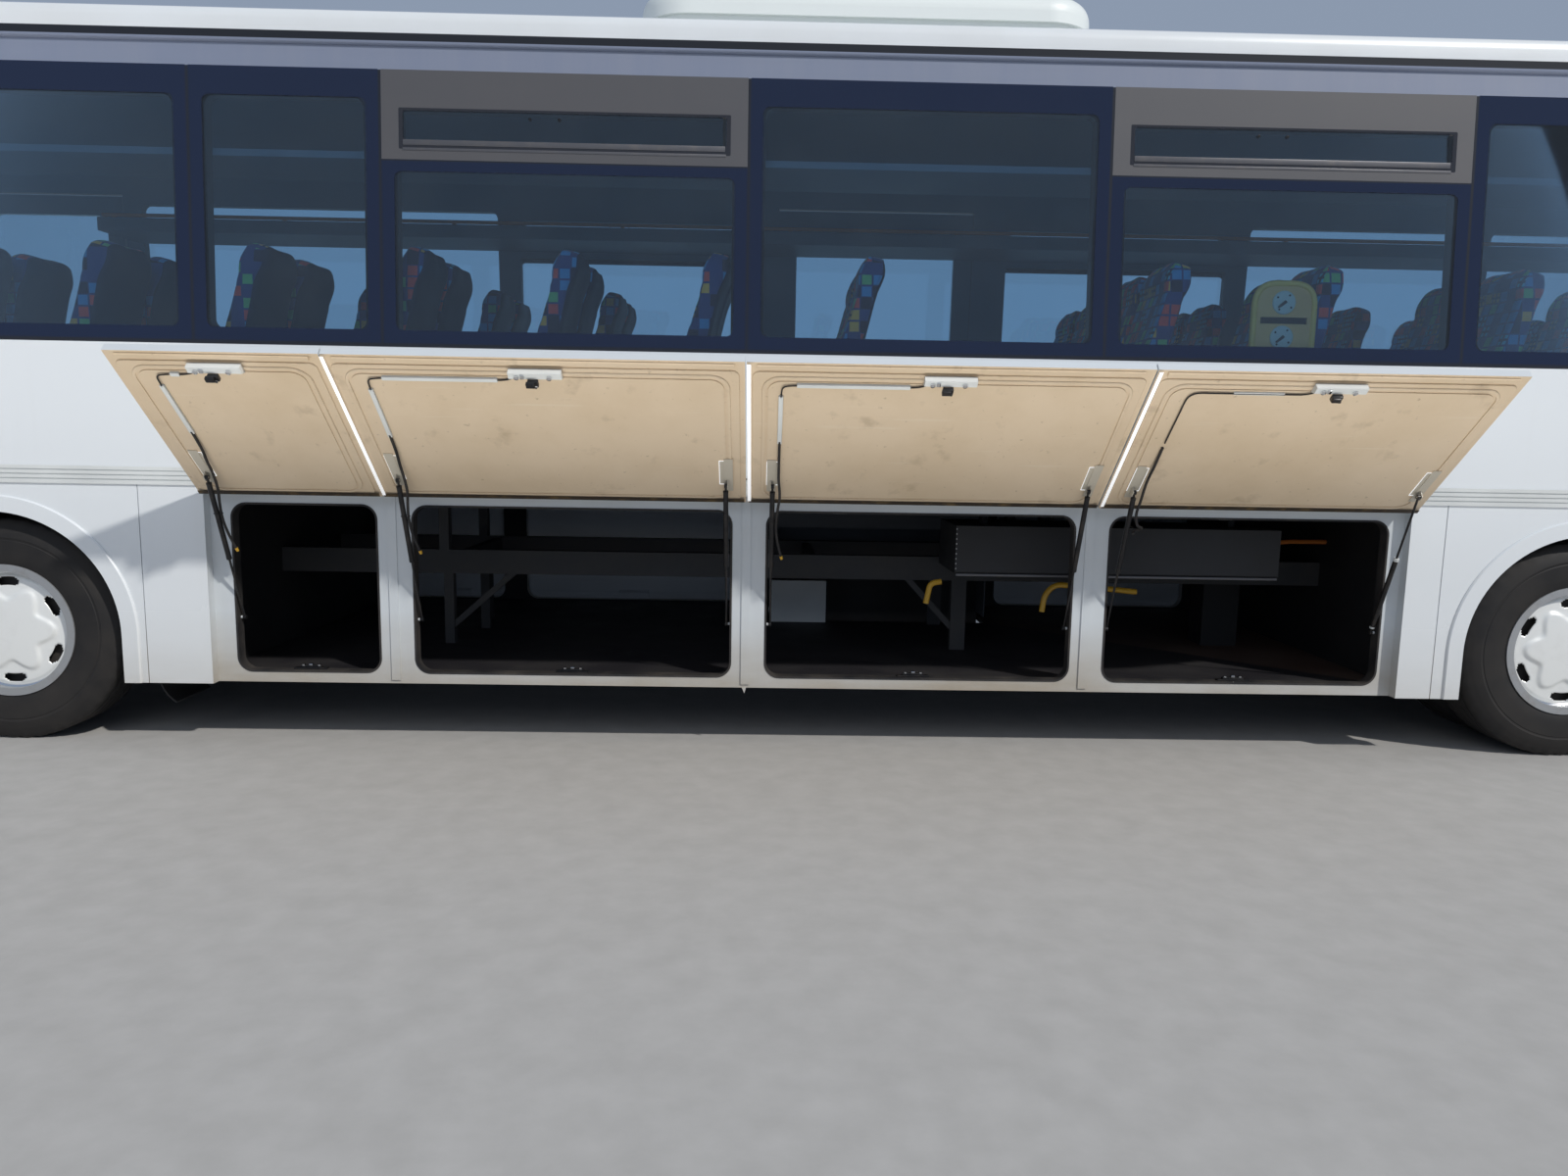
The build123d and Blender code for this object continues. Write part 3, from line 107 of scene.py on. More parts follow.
def opened(point: Sequence[float]) -> Vector:
    """Where a point of a closed left luggage door lies once the door is fully open.

    Args:
        point: Point of the closed door.

    Returns:
        The same point on the open door.
    """
    c, s = math.cos(DOOR_OPEN), math.sin(DOOR_OPEN)
    dy, dz = point[1] - HINGE[0], point[2] - HINGE[1]
    return Vector((point[0], HINGE[0] + dy * c - dz * s, HINGE[1] + dy * s + dz * c))


OPEN_MATRIX = (Matrix.Translation((0, HINGE[0], HINGE[1])) @ Matrix.Rotation(DOOR_OPEN, 4, "X")
               @ Matrix.Translation((0, -HINGE[0], -HINGE[1])))


class Shader:
    """Small helper that wires the nodes of one material."""

    def __init__(self, name: str) -> None:
        """Starts an empty node material.

        Args:
            name: Name of the material.
        """
        self.material = bpy.data.materials.new(name)
        self.material.use_nodes = True
        self.tree = self.material.node_tree
        self.tree.nodes.clear()
        self.output = self.tree.nodes.new("ShaderNodeOutputMaterial")
        self.coords = self.tree.nodes.new("ShaderNodeTexCoord").outputs["Object"]

    def node(self, kind: str, **settings: object) -> bpy.types.Node:
        """Adds a node and sets its properties.

        Args:
            kind: Type of the node.
            settings: Properties by name.

        Returns:
            The node.
        """
        made = self.tree.nodes.new(kind)
        for key, value in settings.items():
            setattr(made, key, value)
        return made

    def link(self, a: Socket, b: Socket) -> None:
        """Connects an output to an input."""
        self.tree.links.new(a, b)

    def put(self, socket: Socket, value: object) -> None:
        """Feeds a socket from another socket or a constant.

        Args:
            socket: Input to feed.
            value: A socket, a colour or a number.
        """
        if isinstance(value, Socket):
            self.link(value, socket)
        elif isinstance(value, tuple) and len(value) == 3 and socket.type == "RGBA":
            socket.default_value = (*value, 1.0)
        else:
            socket.default_value = value

    def through(self, kind: str, inputs: dict, out: object = 0, **settings: object) -> Socket:
        """Adds a node, feeds its inputs and returns one of its outputs.

        Args:
            kind: Type of the node.
            inputs: Value or socket for each input.
            out: Which output.
            settings: Properties by name.

        Returns:
            The output.
        """
        made = self.node(kind, **settings)
        for key, value in inputs.items():
            self.put(made.inputs[key], value)
        return made.outputs[out]

    def noise(self, scale: float, detail: float = 4.0, rough: float = 0.55,
              stretch: Point = (1.0, 1.0, 1.0)) -> Socket:
        """Noise from 0 to 1 over the object's own coordinates, stretched if asked."""
        spot = self.through("ShaderNodeMapping", {"Vector": self.coords, "Scale": stretch})
        return self.through("ShaderNodeTexNoise", {"Vector": spot, "Scale": scale,
                                                   "Detail": detail, "Roughness": rough}, "Fac")

    def ramp(self, value: Socket, low: float, high: float,
             out_low: float = 0.0, out_high: float = 1.0) -> Socket:
        """Maps a value from one range to another and clamps it."""
        return self.through("ShaderNodeMapRange", {
            "Value": value, "From Min": low, "From Max": high, "To Min": out_low,
            "To Max": out_high}, "Result", clamp=True)

    def math(self, kind: str, a: object, b: object = 0.0) -> Socket:
        """One arithmetic step."""
        return self.through("ShaderNodeMath", {0: a, 1: b}, operation=kind)

    def mix(self, factor: object, a: object, b: object) -> Socket:
        """Mixes two colours."""
        return self.through("ShaderNodeMix", {0: factor, 6: a, 7: b}, 2, data_type="RGBA")

    def axes(self) -> tuple[Socket, ...]:
        """X, Y and Z of the object's own coordinates.

        Returns:
            One socket for each axis.
        """
        made = self.node("ShaderNodeSeparateXYZ")
        self.link(self.coords, made.inputs[0])
        return tuple(made.outputs)

    def bump(self, height: Socket, strength: float, distance: float = 0.002) -> Socket:
        """Turns a height into a bumped normal."""
        return self.through("ShaderNodeBump", {"Strength": strength, "Distance": distance,
                                               "Height": height}, "Normal")

    def surface(self, colour: object, rough: object, metal: object = 0.0,
                normal: Optional[Socket] = None, coat: float = 0.0,
                sheen: float = 0.0, specular: float = 0.5) -> bpy.types.Material:
        """Ends the material in one principled surface.

        Args:
            colour: Base colour.
            rough: Roughness.
            metal: Metallic share.
            normal: Bumped normal, if any.
            coat: Weight of the clear coat.
            sheen: Weight of the sheen.
            specular: Level of the gloss.

        Returns:
            The finished material.
        """
        inputs = {"Base Color": colour, "Roughness": rough, "Metallic": metal, "Coat Weight": coat,
                  "Coat Roughness": 0.08, "Sheen Weight": sheen, "Specular IOR Level": specular}
        if normal is not None:
            inputs["Normal"] = normal
        self.link(self.through("ShaderNodeBsdfPrincipled", inputs), self.output.inputs[0])
        return self.material

    def rect_mask(self, u: Socket, v: Socket,
                  rect: Rect, soft: float,
                  corner: float = 0.0) -> Socket:
        """1 inside a rounded rectangle of two coordinates and 0 outside.

        Args:
            u: First coordinate.
            v: Second coordinate.
            rect: Lowest u, highest u, lowest v, highest v.
            soft: Width of the soft edge.
            corner: Corner radius.

        Returns:
            The mask.
        """
        parts = []
        for axis, low, high in ((u, rect[0], rect[1]), (v, rect[2], rect[3])):
            middle, half = (low + high) / 2, (high - low) / 2 - corner
            offset = self.math("ABSOLUTE", self.math("SUBTRACT", axis, middle))
            parts.append(self.math("MAXIMUM", self.math("SUBTRACT", offset, half), 0.0))
        far = self.math("SQRT", self.math("ADD", self.math("MULTIPLY", parts[0], parts[0]),
                                          self.math("MULTIPLY", parts[1], parts[1])))
        return self.ramp(far, corner, corner + soft, 1.0, 0.0)


@dataclass(frozen=True)
class Finish:
    """A procedural finish; subclasses wire their own nodes."""

    name: str
    colour: Colour

    def wire(self, s: Shader) -> bpy.types.Material:
        """Wires the nodes of this finish."""
        grain = s.noise(60.0)
        return s.surface(self.colour, s.ramp(grain, 0.3, 0.7, 0.4, 0.5))

    def build(self) -> bpy.types.Material:
        """Makes the material, once per finish.

        Returns:
            The material.
        """
        name = "look_" + self.name
        found = bpy.data.materials.get(name)
        return found if found else self.wire(Shader(name))


@dataclass(frozen=True)
class Paint(Finish):
    """Coach paint with faint waviness and road dirt that gathers low down."""

    rough: float = 0.28
    coat: float = 0.6
    dirt: float = 0.25
    dirt_top: float = 0.55
    dirt_colour: Colour = (0.34, 0.29, 0.22)

    def wire(self, s: Shader) -> bpy.types.Material:
        """Wires paint, dirt haze and orange peel.

        Args:
            s: Helper with the nodes.

        Returns:
            The material.
        """
        _, _, z = s.axes()
        haze = s.noise(1.6, 6.0, 0.6, (0.5, 1.0, 1.6))
        streak = s.noise(9.0, 5.0, 0.65, (1.0, 1.0, 0.06))
        low = s.ramp(z, 0.28, self.dirt_top, 1.0, 0.0)
        amount = s.math("MULTIPLY", s.ramp(haze, 0.35, 0.75, 0.0, 1.0), 0.12)
        amount = s.math("ADD", amount, s.math("MULTIPLY", s.ramp(streak, 0.5, 0.8, 0.0, 1.0),
                                              0.05))
        amount = s.math("ADD", amount, s.math("MULTIPLY", low, s.ramp(haze, 0.2, 0.8, 0.25, 1.0)))
        amount = s.math("MULTIPLY", amount, self.dirt)
        colour = s.mix(amount, self.colour, self.dirt_colour)
        peel = s.noise(260.0, 2.0)
        rough = s.math("ADD", self.rough, s.math("MULTIPLY", amount, 0.5))
        return s.surface(colour, rough, 0.0, s.bump(peel, 0.05, 0.0006), self.coat)


@dataclass(frozen=True)
class WornPanel(Finish):
    """Old cream paint of the doors' inner skins: stains, rubbed edges, rain marks."""

    stain: Colour = (0.24, 0.17, 0.10)

    def wire(self, s: Shader) -> bpy.types.Material:
        """Wires cloudy stains, specks and fine scratches.

        Args:
            s: Helper with the nodes.

        Returns:
            The material.
        """
        cloud = s.noise(2.2, 7.0, 0.62)
        fleck = s.noise(38.0, 3.0, 0.5)
        blot = s.noise(7.0, 5.0, 0.6)
        scratch = s.noise(40.0, 3.0, 0.5, (0.05, 1.0, 1.0))
        colour = s.mix(s.ramp(cloud, 0.38, 0.72, 0.0, 0.55), self.colour,
                       (self.colour[0] * 0.80, self.colour[1] * 0.76, self.colour[2] * 0.68))
        colour = s.mix(s.ramp(blot, 0.60, 0.74, 0.0, 0.35), colour, self.stain)
        colour = s.mix(s.ramp(fleck, 0.68, 0.78, 0.0, 0.5), colour, self.stain)
        colour = s.mix(s.ramp(scratch, 0.66, 0.8, 0.0, 0.3), colour, (0.75, 0.70, 0.60))
        rough = s.ramp(cloud, 0.3, 0.7, 0.42, 0.62)
        return s.surface(colour, rough, 0.0, s.bump(fleck, 0.12, 0.001), 0.0)


@dataclass(frozen=True)
class Rubber(Finish):
    """Black rubber with dust in its grain."""

    dust: float = 0.3
    dust_colour: Colour = (0.20, 0.17, 0.14)

    def wire(self, s: Shader) -> bpy.types.Material:
        """Wires grain and dust.

        Args:
            s: Helper with the nodes.

        Returns:
            The material.
        """
        grain = s.noise(160.0, 3.0)
        cloud = s.noise(5.0, 6.0, 0.6)
        colour = s.mix(s.math("MULTIPLY", s.ramp(cloud, 0.35, 0.75), self.dust), self.colour,
                       self.dust_colour)
        return s.surface(colour, s.ramp(cloud, 0.3, 0.7, 0.55, 0.8), 0.0,
                         s.bump(grain, 0.25, 0.0008), 0.0, specular=0.35)


@dataclass(frozen=True)
class Metal(Finish):
    """Bare or plated metal with brushed marks and some dulling."""

    rough: float = 0.3
    metal: float = 1.0
    dull: float = 0.3
    dull_colour: Colour = (0.25, 0.21, 0.17)

    def wire(self, s: Shader) -> bpy.types.Material:
        """Wires brushed streaks and dull patches.

        Args:
            s: Helper with the nodes.

        Returns:
            The material.
        """
        streak = s.noise(90.0, 3.0, 0.5, (0.08, 1.0, 1.0))
        patch = s.noise(12.0, 5.0, 0.6)
        amount = s.math("MULTIPLY", s.ramp(patch, 0.5, 0.8), self.dull)
        colour = s.mix(amount, self.colour, self.dull_colour)
        rough = s.math("ADD", s.ramp(streak, 0.3, 0.7, self.rough - 0.05, self.rough + 0.08),
                       s.math("MULTIPLY", amount, 0.4))
        return s.surface(colour, rough, self.metal, s.bump(streak, 0.06, 0.0005), 0.0)


@dataclass(frozen=True)
class Plastic(Finish):
    """Moulded plastic with a fine leather grain."""

    rough: float = 0.5
    grain: float = 0.2

    def wire(self, s: Shader) -> bpy.types.Material:
        """Wires a cell grain and slight fading.

        Args:
            s: Helper with the nodes.

        Returns:
            The material.
        """
        cells = s.node("ShaderNodeTexVoronoi")
        s.link(s.coords, cells.inputs["Vector"])
        cells.inputs["Scale"].default_value = 420.0
        fade = s.noise(3.0, 4.0)
        lift = (min(1.0, self.colour[0] * 1.25 + 0.01), min(1.0, self.colour[1] * 1.25 + 0.01),
                min(1.0, self.colour[2] * 1.25 + 0.01))
        colour = s.mix(s.ramp(fade, 0.4, 0.7, 0.0, 0.5), self.colour, lift)
        return s.surface(colour, s.ramp(fade, 0.3, 0.7, self.rough - 0.06, self.rough + 0.08),
                         0.0, s.bump(cells.outputs["Distance"], self.grain, 0.0006), 0.0)


@dataclass(frozen=True)
class DarkLining(Finish):
    """Dark lining board of the luggage bays, scuffed and dusty."""

    dust: Colour = (0.16, 0.145, 0.125)

    def wire(self, s: Shader) -> bpy.types.Material:
        """Wires scuffs and dust clouds.

        Args:
            s: Helper with the nodes.

        Returns:
            The material.
        """
        cloud = s.noise(2.5, 7.0, 0.65)
        scuff = s.noise(26.0, 4.0, 0.6, (0.12, 1.0, 0.5))
        colour = s.mix(s.ramp(cloud, 0.42, 0.75, 0.0, 0.55), self.colour, self.dust)
        colour = s.mix(s.ramp(scuff, 0.62, 0.8, 0.0, 0.4), colour, self.dust)
        return s.surface(colour, s.ramp(cloud, 0.3, 0.7, 0.55, 0.8), 0.0,
                         s.bump(scuff, 0.12, 0.001), 0.0)


@dataclass(frozen=True)
class EdgeStrip(Finish):
    """Thin white plastic strip with a painted glow: emission that stands in for sunlight falling on
    it.
    """

    glow: float = 0.55

    def wire(self, s: Shader) -> bpy.types.Material:
        """Wires smudged white plastic with a painted glow that stands in for sunlight.

        Args:
            s: Helper with the nodes.

        Returns:
            The material.
        """
        smudge = s.noise(18.0, 4.0, 0.6)
        colour = s.mix(s.ramp(smudge, 0.5, 0.8, 0.0, 0.3), self.colour, (0.50, 0.46, 0.38))
        made = s.surface(colour, 0.4, 0.0, s.bump(smudge, 0.05))
        bsdf = next(n for n in s.tree.nodes if n.type == "BSDF_PRINCIPLED")
        # Painted light: the emission makes the strip glow though it is no lamp.
        s.put(bsdf.inputs["Emission Color"], colour)
        bsdf.inputs["Emission Strength"].default_value = self.glow
        return made


@dataclass(frozen=True)
class SeatCloth(Finish):
    """Patterned seat cloth: scattered squares, some with a small inner one, on a blue ground."""

    cell: float = 0.052

    def wire(self, s: Shader) -> bpy.types.Material:
        """Wires a square grid whose cells take one of several colours.

        Args:
            s: Helper with the nodes.

        Returns:
            The material.
        """
        flat = s.node("ShaderNodeMapping")
        s.put(flat.inputs["Vector"], s.coords)
        scale = 1.0 / self.cell
        flat.inputs["Scale"].default_value = (scale, scale, scale)
        flat.inputs["Location"].default_value = (0.31, 0.17, 0.23)
        facing = s.node("ShaderNodeSeparateXYZ")
        s.link(s.node("ShaderNodeNewGeometry").outputs["True Normal"], facing.inputs[0])
        size = [s.math("ABSOLUTE", facing.outputs[i]) for i in range(3)]
        keep = [s.math("LESS_THAN", size[i], s.math("MAXIMUM", size[(i + 1) % 3],
                                                    size[(i + 2) % 3])) for i in range(3)]
        mask = s.node("ShaderNodeCombineXYZ")
        for i in range(3):
            s.link(keep[i], mask.inputs[i])
        plane = s.node("ShaderNodeVectorMath", operation="MULTIPLY")
        s.link(flat.outputs[0], plane.inputs[0])
        s.link(mask.outputs[0], plane.inputs[1])
        cell = s.node("ShaderNodeVectorMath", operation="FLOOR")
        s.link(plane.outputs[0], cell.inputs[0])
        inside = s.node("ShaderNodeVectorMath", operation="FRACTION")
        s.link(plane.outputs[0], inside.inputs[0])
        white = s.node("ShaderNodeTexWhiteNoise", noise_dimensions="3D")
        s.link(cell.outputs[0], white.inputs["Vector"])
        ramp = s.node("ShaderNodeValToRGB")
        ramp.color_ramp.interpolation = "CONSTANT"
        stops = ((0.0, self.colour), (0.34, (0.06, 0.36, 0.72)), (0.50, (0.92, 0.13, 0.12)),
                 (0.66, (0.20, 0.62, 0.26)), (0.76, (1.0, 0.58, 0.14)), (0.88, (0.14, 0.66, 0.86)))
        ramp.color_ramp.elements[0].position = stops[0][0]
        ramp.color_ramp.elements[0].color = (*stops[0][1], 1.0)
        ramp.color_ramp.elements[1].position = stops[1][0]
        ramp.color_ramp.elements[1].color = (*stops[1][1], 1.0)
        for place, shade in stops[2:]:
            ramp.color_ramp.elements.new(place).color = (*shade, 1.0)
        s.link(white.outputs["Value"], ramp.inputs[0])
        split = s.node("ShaderNodeSeparateXYZ")
        s.link(inside.outputs[0], split.inputs[0])
        near = [s.math("MULTIPLY", s.math("ABSOLUTE", s.math("SUBTRACT", split.outputs[i], 0.5)),
                       keep[i]) for i in range(3)]
        box = s.math("MAXIMUM", s.math("MAXIMUM", near[0], near[1]), near[2])
        border = s.ramp(box, 0.40, 0.43)
        colour = s.mix(border, ramp.outputs[0], self.colour)
        dot = s.math("MULTIPLY", s.ramp(s.math("MAXIMUM", s.math("MINIMUM", near[0], near[1]),
                                               s.math("MINIMUM", near[1], near[2])),
                                        0.10, 0.13, 1.0, 0.0),
                     s.ramp(white.outputs["Value"], 0.8, 0.81))
        colour = s.mix(dot, colour, (0.02, 0.02, 0.06))
        weave = s.node("ShaderNodeTexWave", wave_type="BANDS", bands_direction="DIAGONAL")
        s.link(s.coords, weave.inputs["Vector"])
        weave.inputs["Scale"].default_value = 260.0
        nap = s.noise(500.0, 2.0)
        height = s.math("ADD", weave.outputs["Fac"], nap)
        return s.surface(colour, 0.86, 0.0, s.bump(height, 0.3, 0.0012), 0.0, sheen=0.35,
                         specular=0.2)


@dataclass(frozen=True)
class TintedGlass(Finish):
    """Bonded side glass: clear tinted middle and a printed dark border."""

    clear: Optional[Rect] = None
    tint: Colour = (0.76, 0.885, 0.955)
    across: bool = False
    corner: float = 0.03

    def wire(self, s: Shader) -> bpy.types.Material:
        """Wires a see-through tinted pane with Fresnel gloss and an opaque printed border.

        Args:
            s: Helper with the nodes.

        Returns:
            The material.
        """
        x, y, z = s.axes()
        see = s.node("ShaderNodeBsdfTransparent")
        see.inputs["Color"].default_value = (*self.tint, 1.0)
        gloss = s.node("ShaderNodeBsdfGlossy")
        gloss.inputs["Color"].default_value = (0.92, 0.96, 1.0, 1.0)
        smear = s.noise(3.0, 5.0, 0.6)
        s.put(gloss.inputs["Roughness"], s.ramp(smear, 0.4, 0.8, 0.015, 0.06))
        fresnel = s.node("ShaderNodeFresnel")
        fresnel.inputs["IOR"].default_value = 1.62
        pane = s.node("ShaderNodeMixShader")
        s.link(fresnel.outputs[0], pane.inputs[0])
        s.link(see.outputs[0], pane.inputs[1])
        s.link(gloss.outputs[0], pane.inputs[2])
        dust = s.node("ShaderNodeBsdfDiffuse")
        dust.inputs["Color"].default_value = (0.42, 0.46, 0.48, 1.0)
        film = s.node("ShaderNodeMixShader")
        s.put(film.inputs[0], s.ramp(smear, 0.35, 0.8, 0.004, 0.022))
        s.link(pane.outputs[0], film.inputs[1])
        s.link(dust.outputs[0], film.inputs[2])
        if self.clear is None:
            s.link(film.outputs[0], s.output.inputs[0])
            return s.material
        border = s.node("ShaderNodeBsdfPrincipled")
        border.inputs["Base Color"].default_value = (*self.colour, 1.0)
        s.put(border.inputs["Roughness"], s.ramp(smear, 0.4, 0.8, 0.09, 0.2))
        border.inputs["Coat Weight"].default_value = 0.5
        mask = s.rect_mask(y if self.across else x, z, self.clear, 0.004, self.corner)
        whole = s.node("ShaderNodeMixShader")
        s.link(mask, whole.inputs[0])
        s.link(border.outputs[0], whole.inputs[1])
        s.link(film.outputs[0], whole.inputs[2])
        s.link(whole.outputs[0], s.output.inputs[0])
        return s.material


@dataclass(frozen=True)
class LampGlass(Finish):
    """Ribbed lamp lens over a bright shell."""

    rib: float = 60.0

    def wire(self, s: Shader) -> bpy.types.Material:
        """Wires vertical ribs and a bright core.

        Args:
            s: Helper with the nodes.

        Returns:
            The material.
        """
        wave = s.node("ShaderNodeTexWave", wave_type="BANDS", bands_direction="Y")
        s.link(s.coords, wave.inputs["Vector"])
        wave.inputs["Scale"].default_value = self.rib
        tone = s.noise(14.0, 3.0)
        dark = (self.colour[0] * 0.45, self.colour[1] * 0.45, self.colour[2] * 0.45)
        colour = s.mix(s.ramp(tone, 0.35, 0.7), self.colour, dark)
        return s.surface(colour, 0.08, 0.15, s.bump(wave.outputs["Fac"], 0.35, 0.002), 1.0)


WHITE = Paint("body_white", (0.74, 0.77, 0.79))
# Darker, bluer copy of the body white for the set-back frame and the door rims: painted shade, with
# heavy road dirt on top.
SHADED_WHITE_EDGE = Paint("frame_white", (0.60, 0.64, 0.67), rough=0.42, coat=0.1, dirt=1.1,
                   dirt_top=0.62)
CREAM = WornPanel("door_cream", (0.66, 0.535, 0.385))
SHADE_WHITE = Paint("inner_pale", (0.72, 0.76, 0.80), rough=0.45, coat=0.1, dirt=0.4)
STRIP_GREY = Plastic("strip_grey", (0.62, 0.64, 0.63), rough=0.5, grain=0.05)
HEAD_GREY = Paint("window_metal", (0.084, 0.084, 0.092), rough=0.5, coat=0.0, dirt=0.3)
SEAL_BLACK = Rubber("seal_black", (0.016, 0.016, 0.018), dust=0.25)
TYRE_BLACK = Rubber("tyre_black", (0.014, 0.0135, 0.014), dust=0.55,
                    dust_colour=(0.048, 0.042, 0.037))
PRINT_NAVY = (0.004, 0.010, 0.036)
CHASSIS = DarkLining("chassis_black", (0.022, 0.022, 0.024))
RAIL_GREY = DarkLining("rail_grey", (0.032, 0.033, 0.036), dust=(0.085, 0.078, 0.068))
LINING = DarkLining("bay_lining", (0.011, 0.011, 0.012), dust=(0.032, 0.030, 0.028))
BAY_FLOOR = DarkLining("bay_floor_board", (0.011, 0.010, 0.013), dust=(0.030, 0.027, 0.025))
MAT_BROWN = DarkLining("bay_mat_brown", (0.050, 0.030, 0.024), dust=(0.11, 0.085, 0.07))
DUCT_GREY = DarkLining("duct_grey", (0.022, 0.023, 0.026), dust=(0.038, 0.036, 0.034))
CABIN_FLOOR = Plastic("cabin_floor_cover", (0.10, 0.11, 0.125), rough=0.55)
CABIN_GREY = Plastic("cabin_trim_grey", (0.15, 0.21, 0.28), rough=0.6, grain=0.1)
DARK_PLASTIC = Plastic("dark_plastic", (0.030, 0.031, 0.034), rough=0.48)
BLACK_GLOSS = Paint("black_gloss", (0.012, 0.012, 0.013), rough=0.22, coat=0.5, dirt=0.3)
STRUT_BLACK = Metal("strut_black", (0.018, 0.018, 0.020), rough=0.32, metal=0.4, dull=0.2)
ROD_STEEL = Metal("rod_steel", (0.42, 0.42, 0.43), rough=0.22, dull=0.3)
ALLOY = Metal("plain_alloy", (0.66, 0.66, 0.65), rough=0.34, dull=0.35)
CHROME = Metal("polished_trim", (0.80, 0.81, 0.82), rough=0.12, dull=0.15)
COVER_SILVER = Metal("cover_silver", (0.86, 0.87, 0.85), rough=0.34, metal=0.22, dull=0.10)
RIM_SILVER = Metal("rim_silver", (0.42, 0.43, 0.44), rough=0.42, metal=0.6, dull=0.5)
RUST_IRON = Metal("weathered_iron", (0.10, 0.085, 0.075), rough=0.6, metal=0.5, dull=0.7,
                  dull_colour=(0.17, 0.075, 0.035))
YELLOW = Paint("warning_yellow", (0.70, 0.40, 0.03), rough=0.4, coat=0.2, dirt=0.2)
ORANGE = Plastic("grab_orange", (0.62, 0.19, 0.04), rough=0.4, grain=0.05)
LOOP_YELLOW = Paint("loop_yellow", (1.0, 0.70, 0.20), rough=0.4, coat=0.2, dirt=0.1)
SEAT_REAR = Plastic("seat_rear_grey", (0.27, 0.27, 0.25), rough=0.6, grain=0.08)
PALE_BLUE = Plastic("reel_grey", (0.60, 0.72, 0.72), rough=0.45, grain=0.05)
CLOTH = SeatCloth("seat_cloth", (0.036, 0.072, 0.25))
PLAIN_CLOTH = Rubber("seat_side_cloth", (0.014, 0.024, 0.070), dust=0.05)
LAMP_CLEAR = LampGlass("lamp_clear", (0.75, 0.78, 0.80))
LAMP_RED = LampGlass("lamp_red", (0.45, 0.012, 0.012))
LAMP_AMBER = LampGlass("lamp_amber", (0.62, 0.20, 0.012))
COOLER_WHITE = Paint("cooler_white", (0.78, 0.82, 0.80), rough=0.4, coat=0.3, dirt=0.3)
BRACKET_PALE = Plastic("bracket_pale", (0.50, 0.46, 0.38), rough=0.5, grain=0.05)
# White strips with a painted glow that stands in for sunlight on the door edges and plate rims.
PAINTED_GLOW_WHITE = EdgeStrip("edge_strip_white", (0.86, 0.87, 0.88))
HINGE_GRIME = Metal("hinge_grime", (0.060, 0.046, 0.034), rough=0.55, metal=0.5, dull=0.8,
                    dull_colour=(0.30, 0.20, 0.08))
REST_BEIGE = Plastic("backrest_beige", (0.92, 0.56, 0.25), rough=0.5, grain=0.05)
BEAD_GREY = Metal("bead_grey", (0.13, 0.13, 0.14), rough=0.40, metal=0.5, dull=0.3)
MIRROR_GLASS = Metal("mirror_glass", (0.86, 0.88, 0.90), rough=0.06, dull=0.05)
SEAL_WHITE = Rubber("seal_white", (0.46, 0.45, 0.42), dust=0.5)


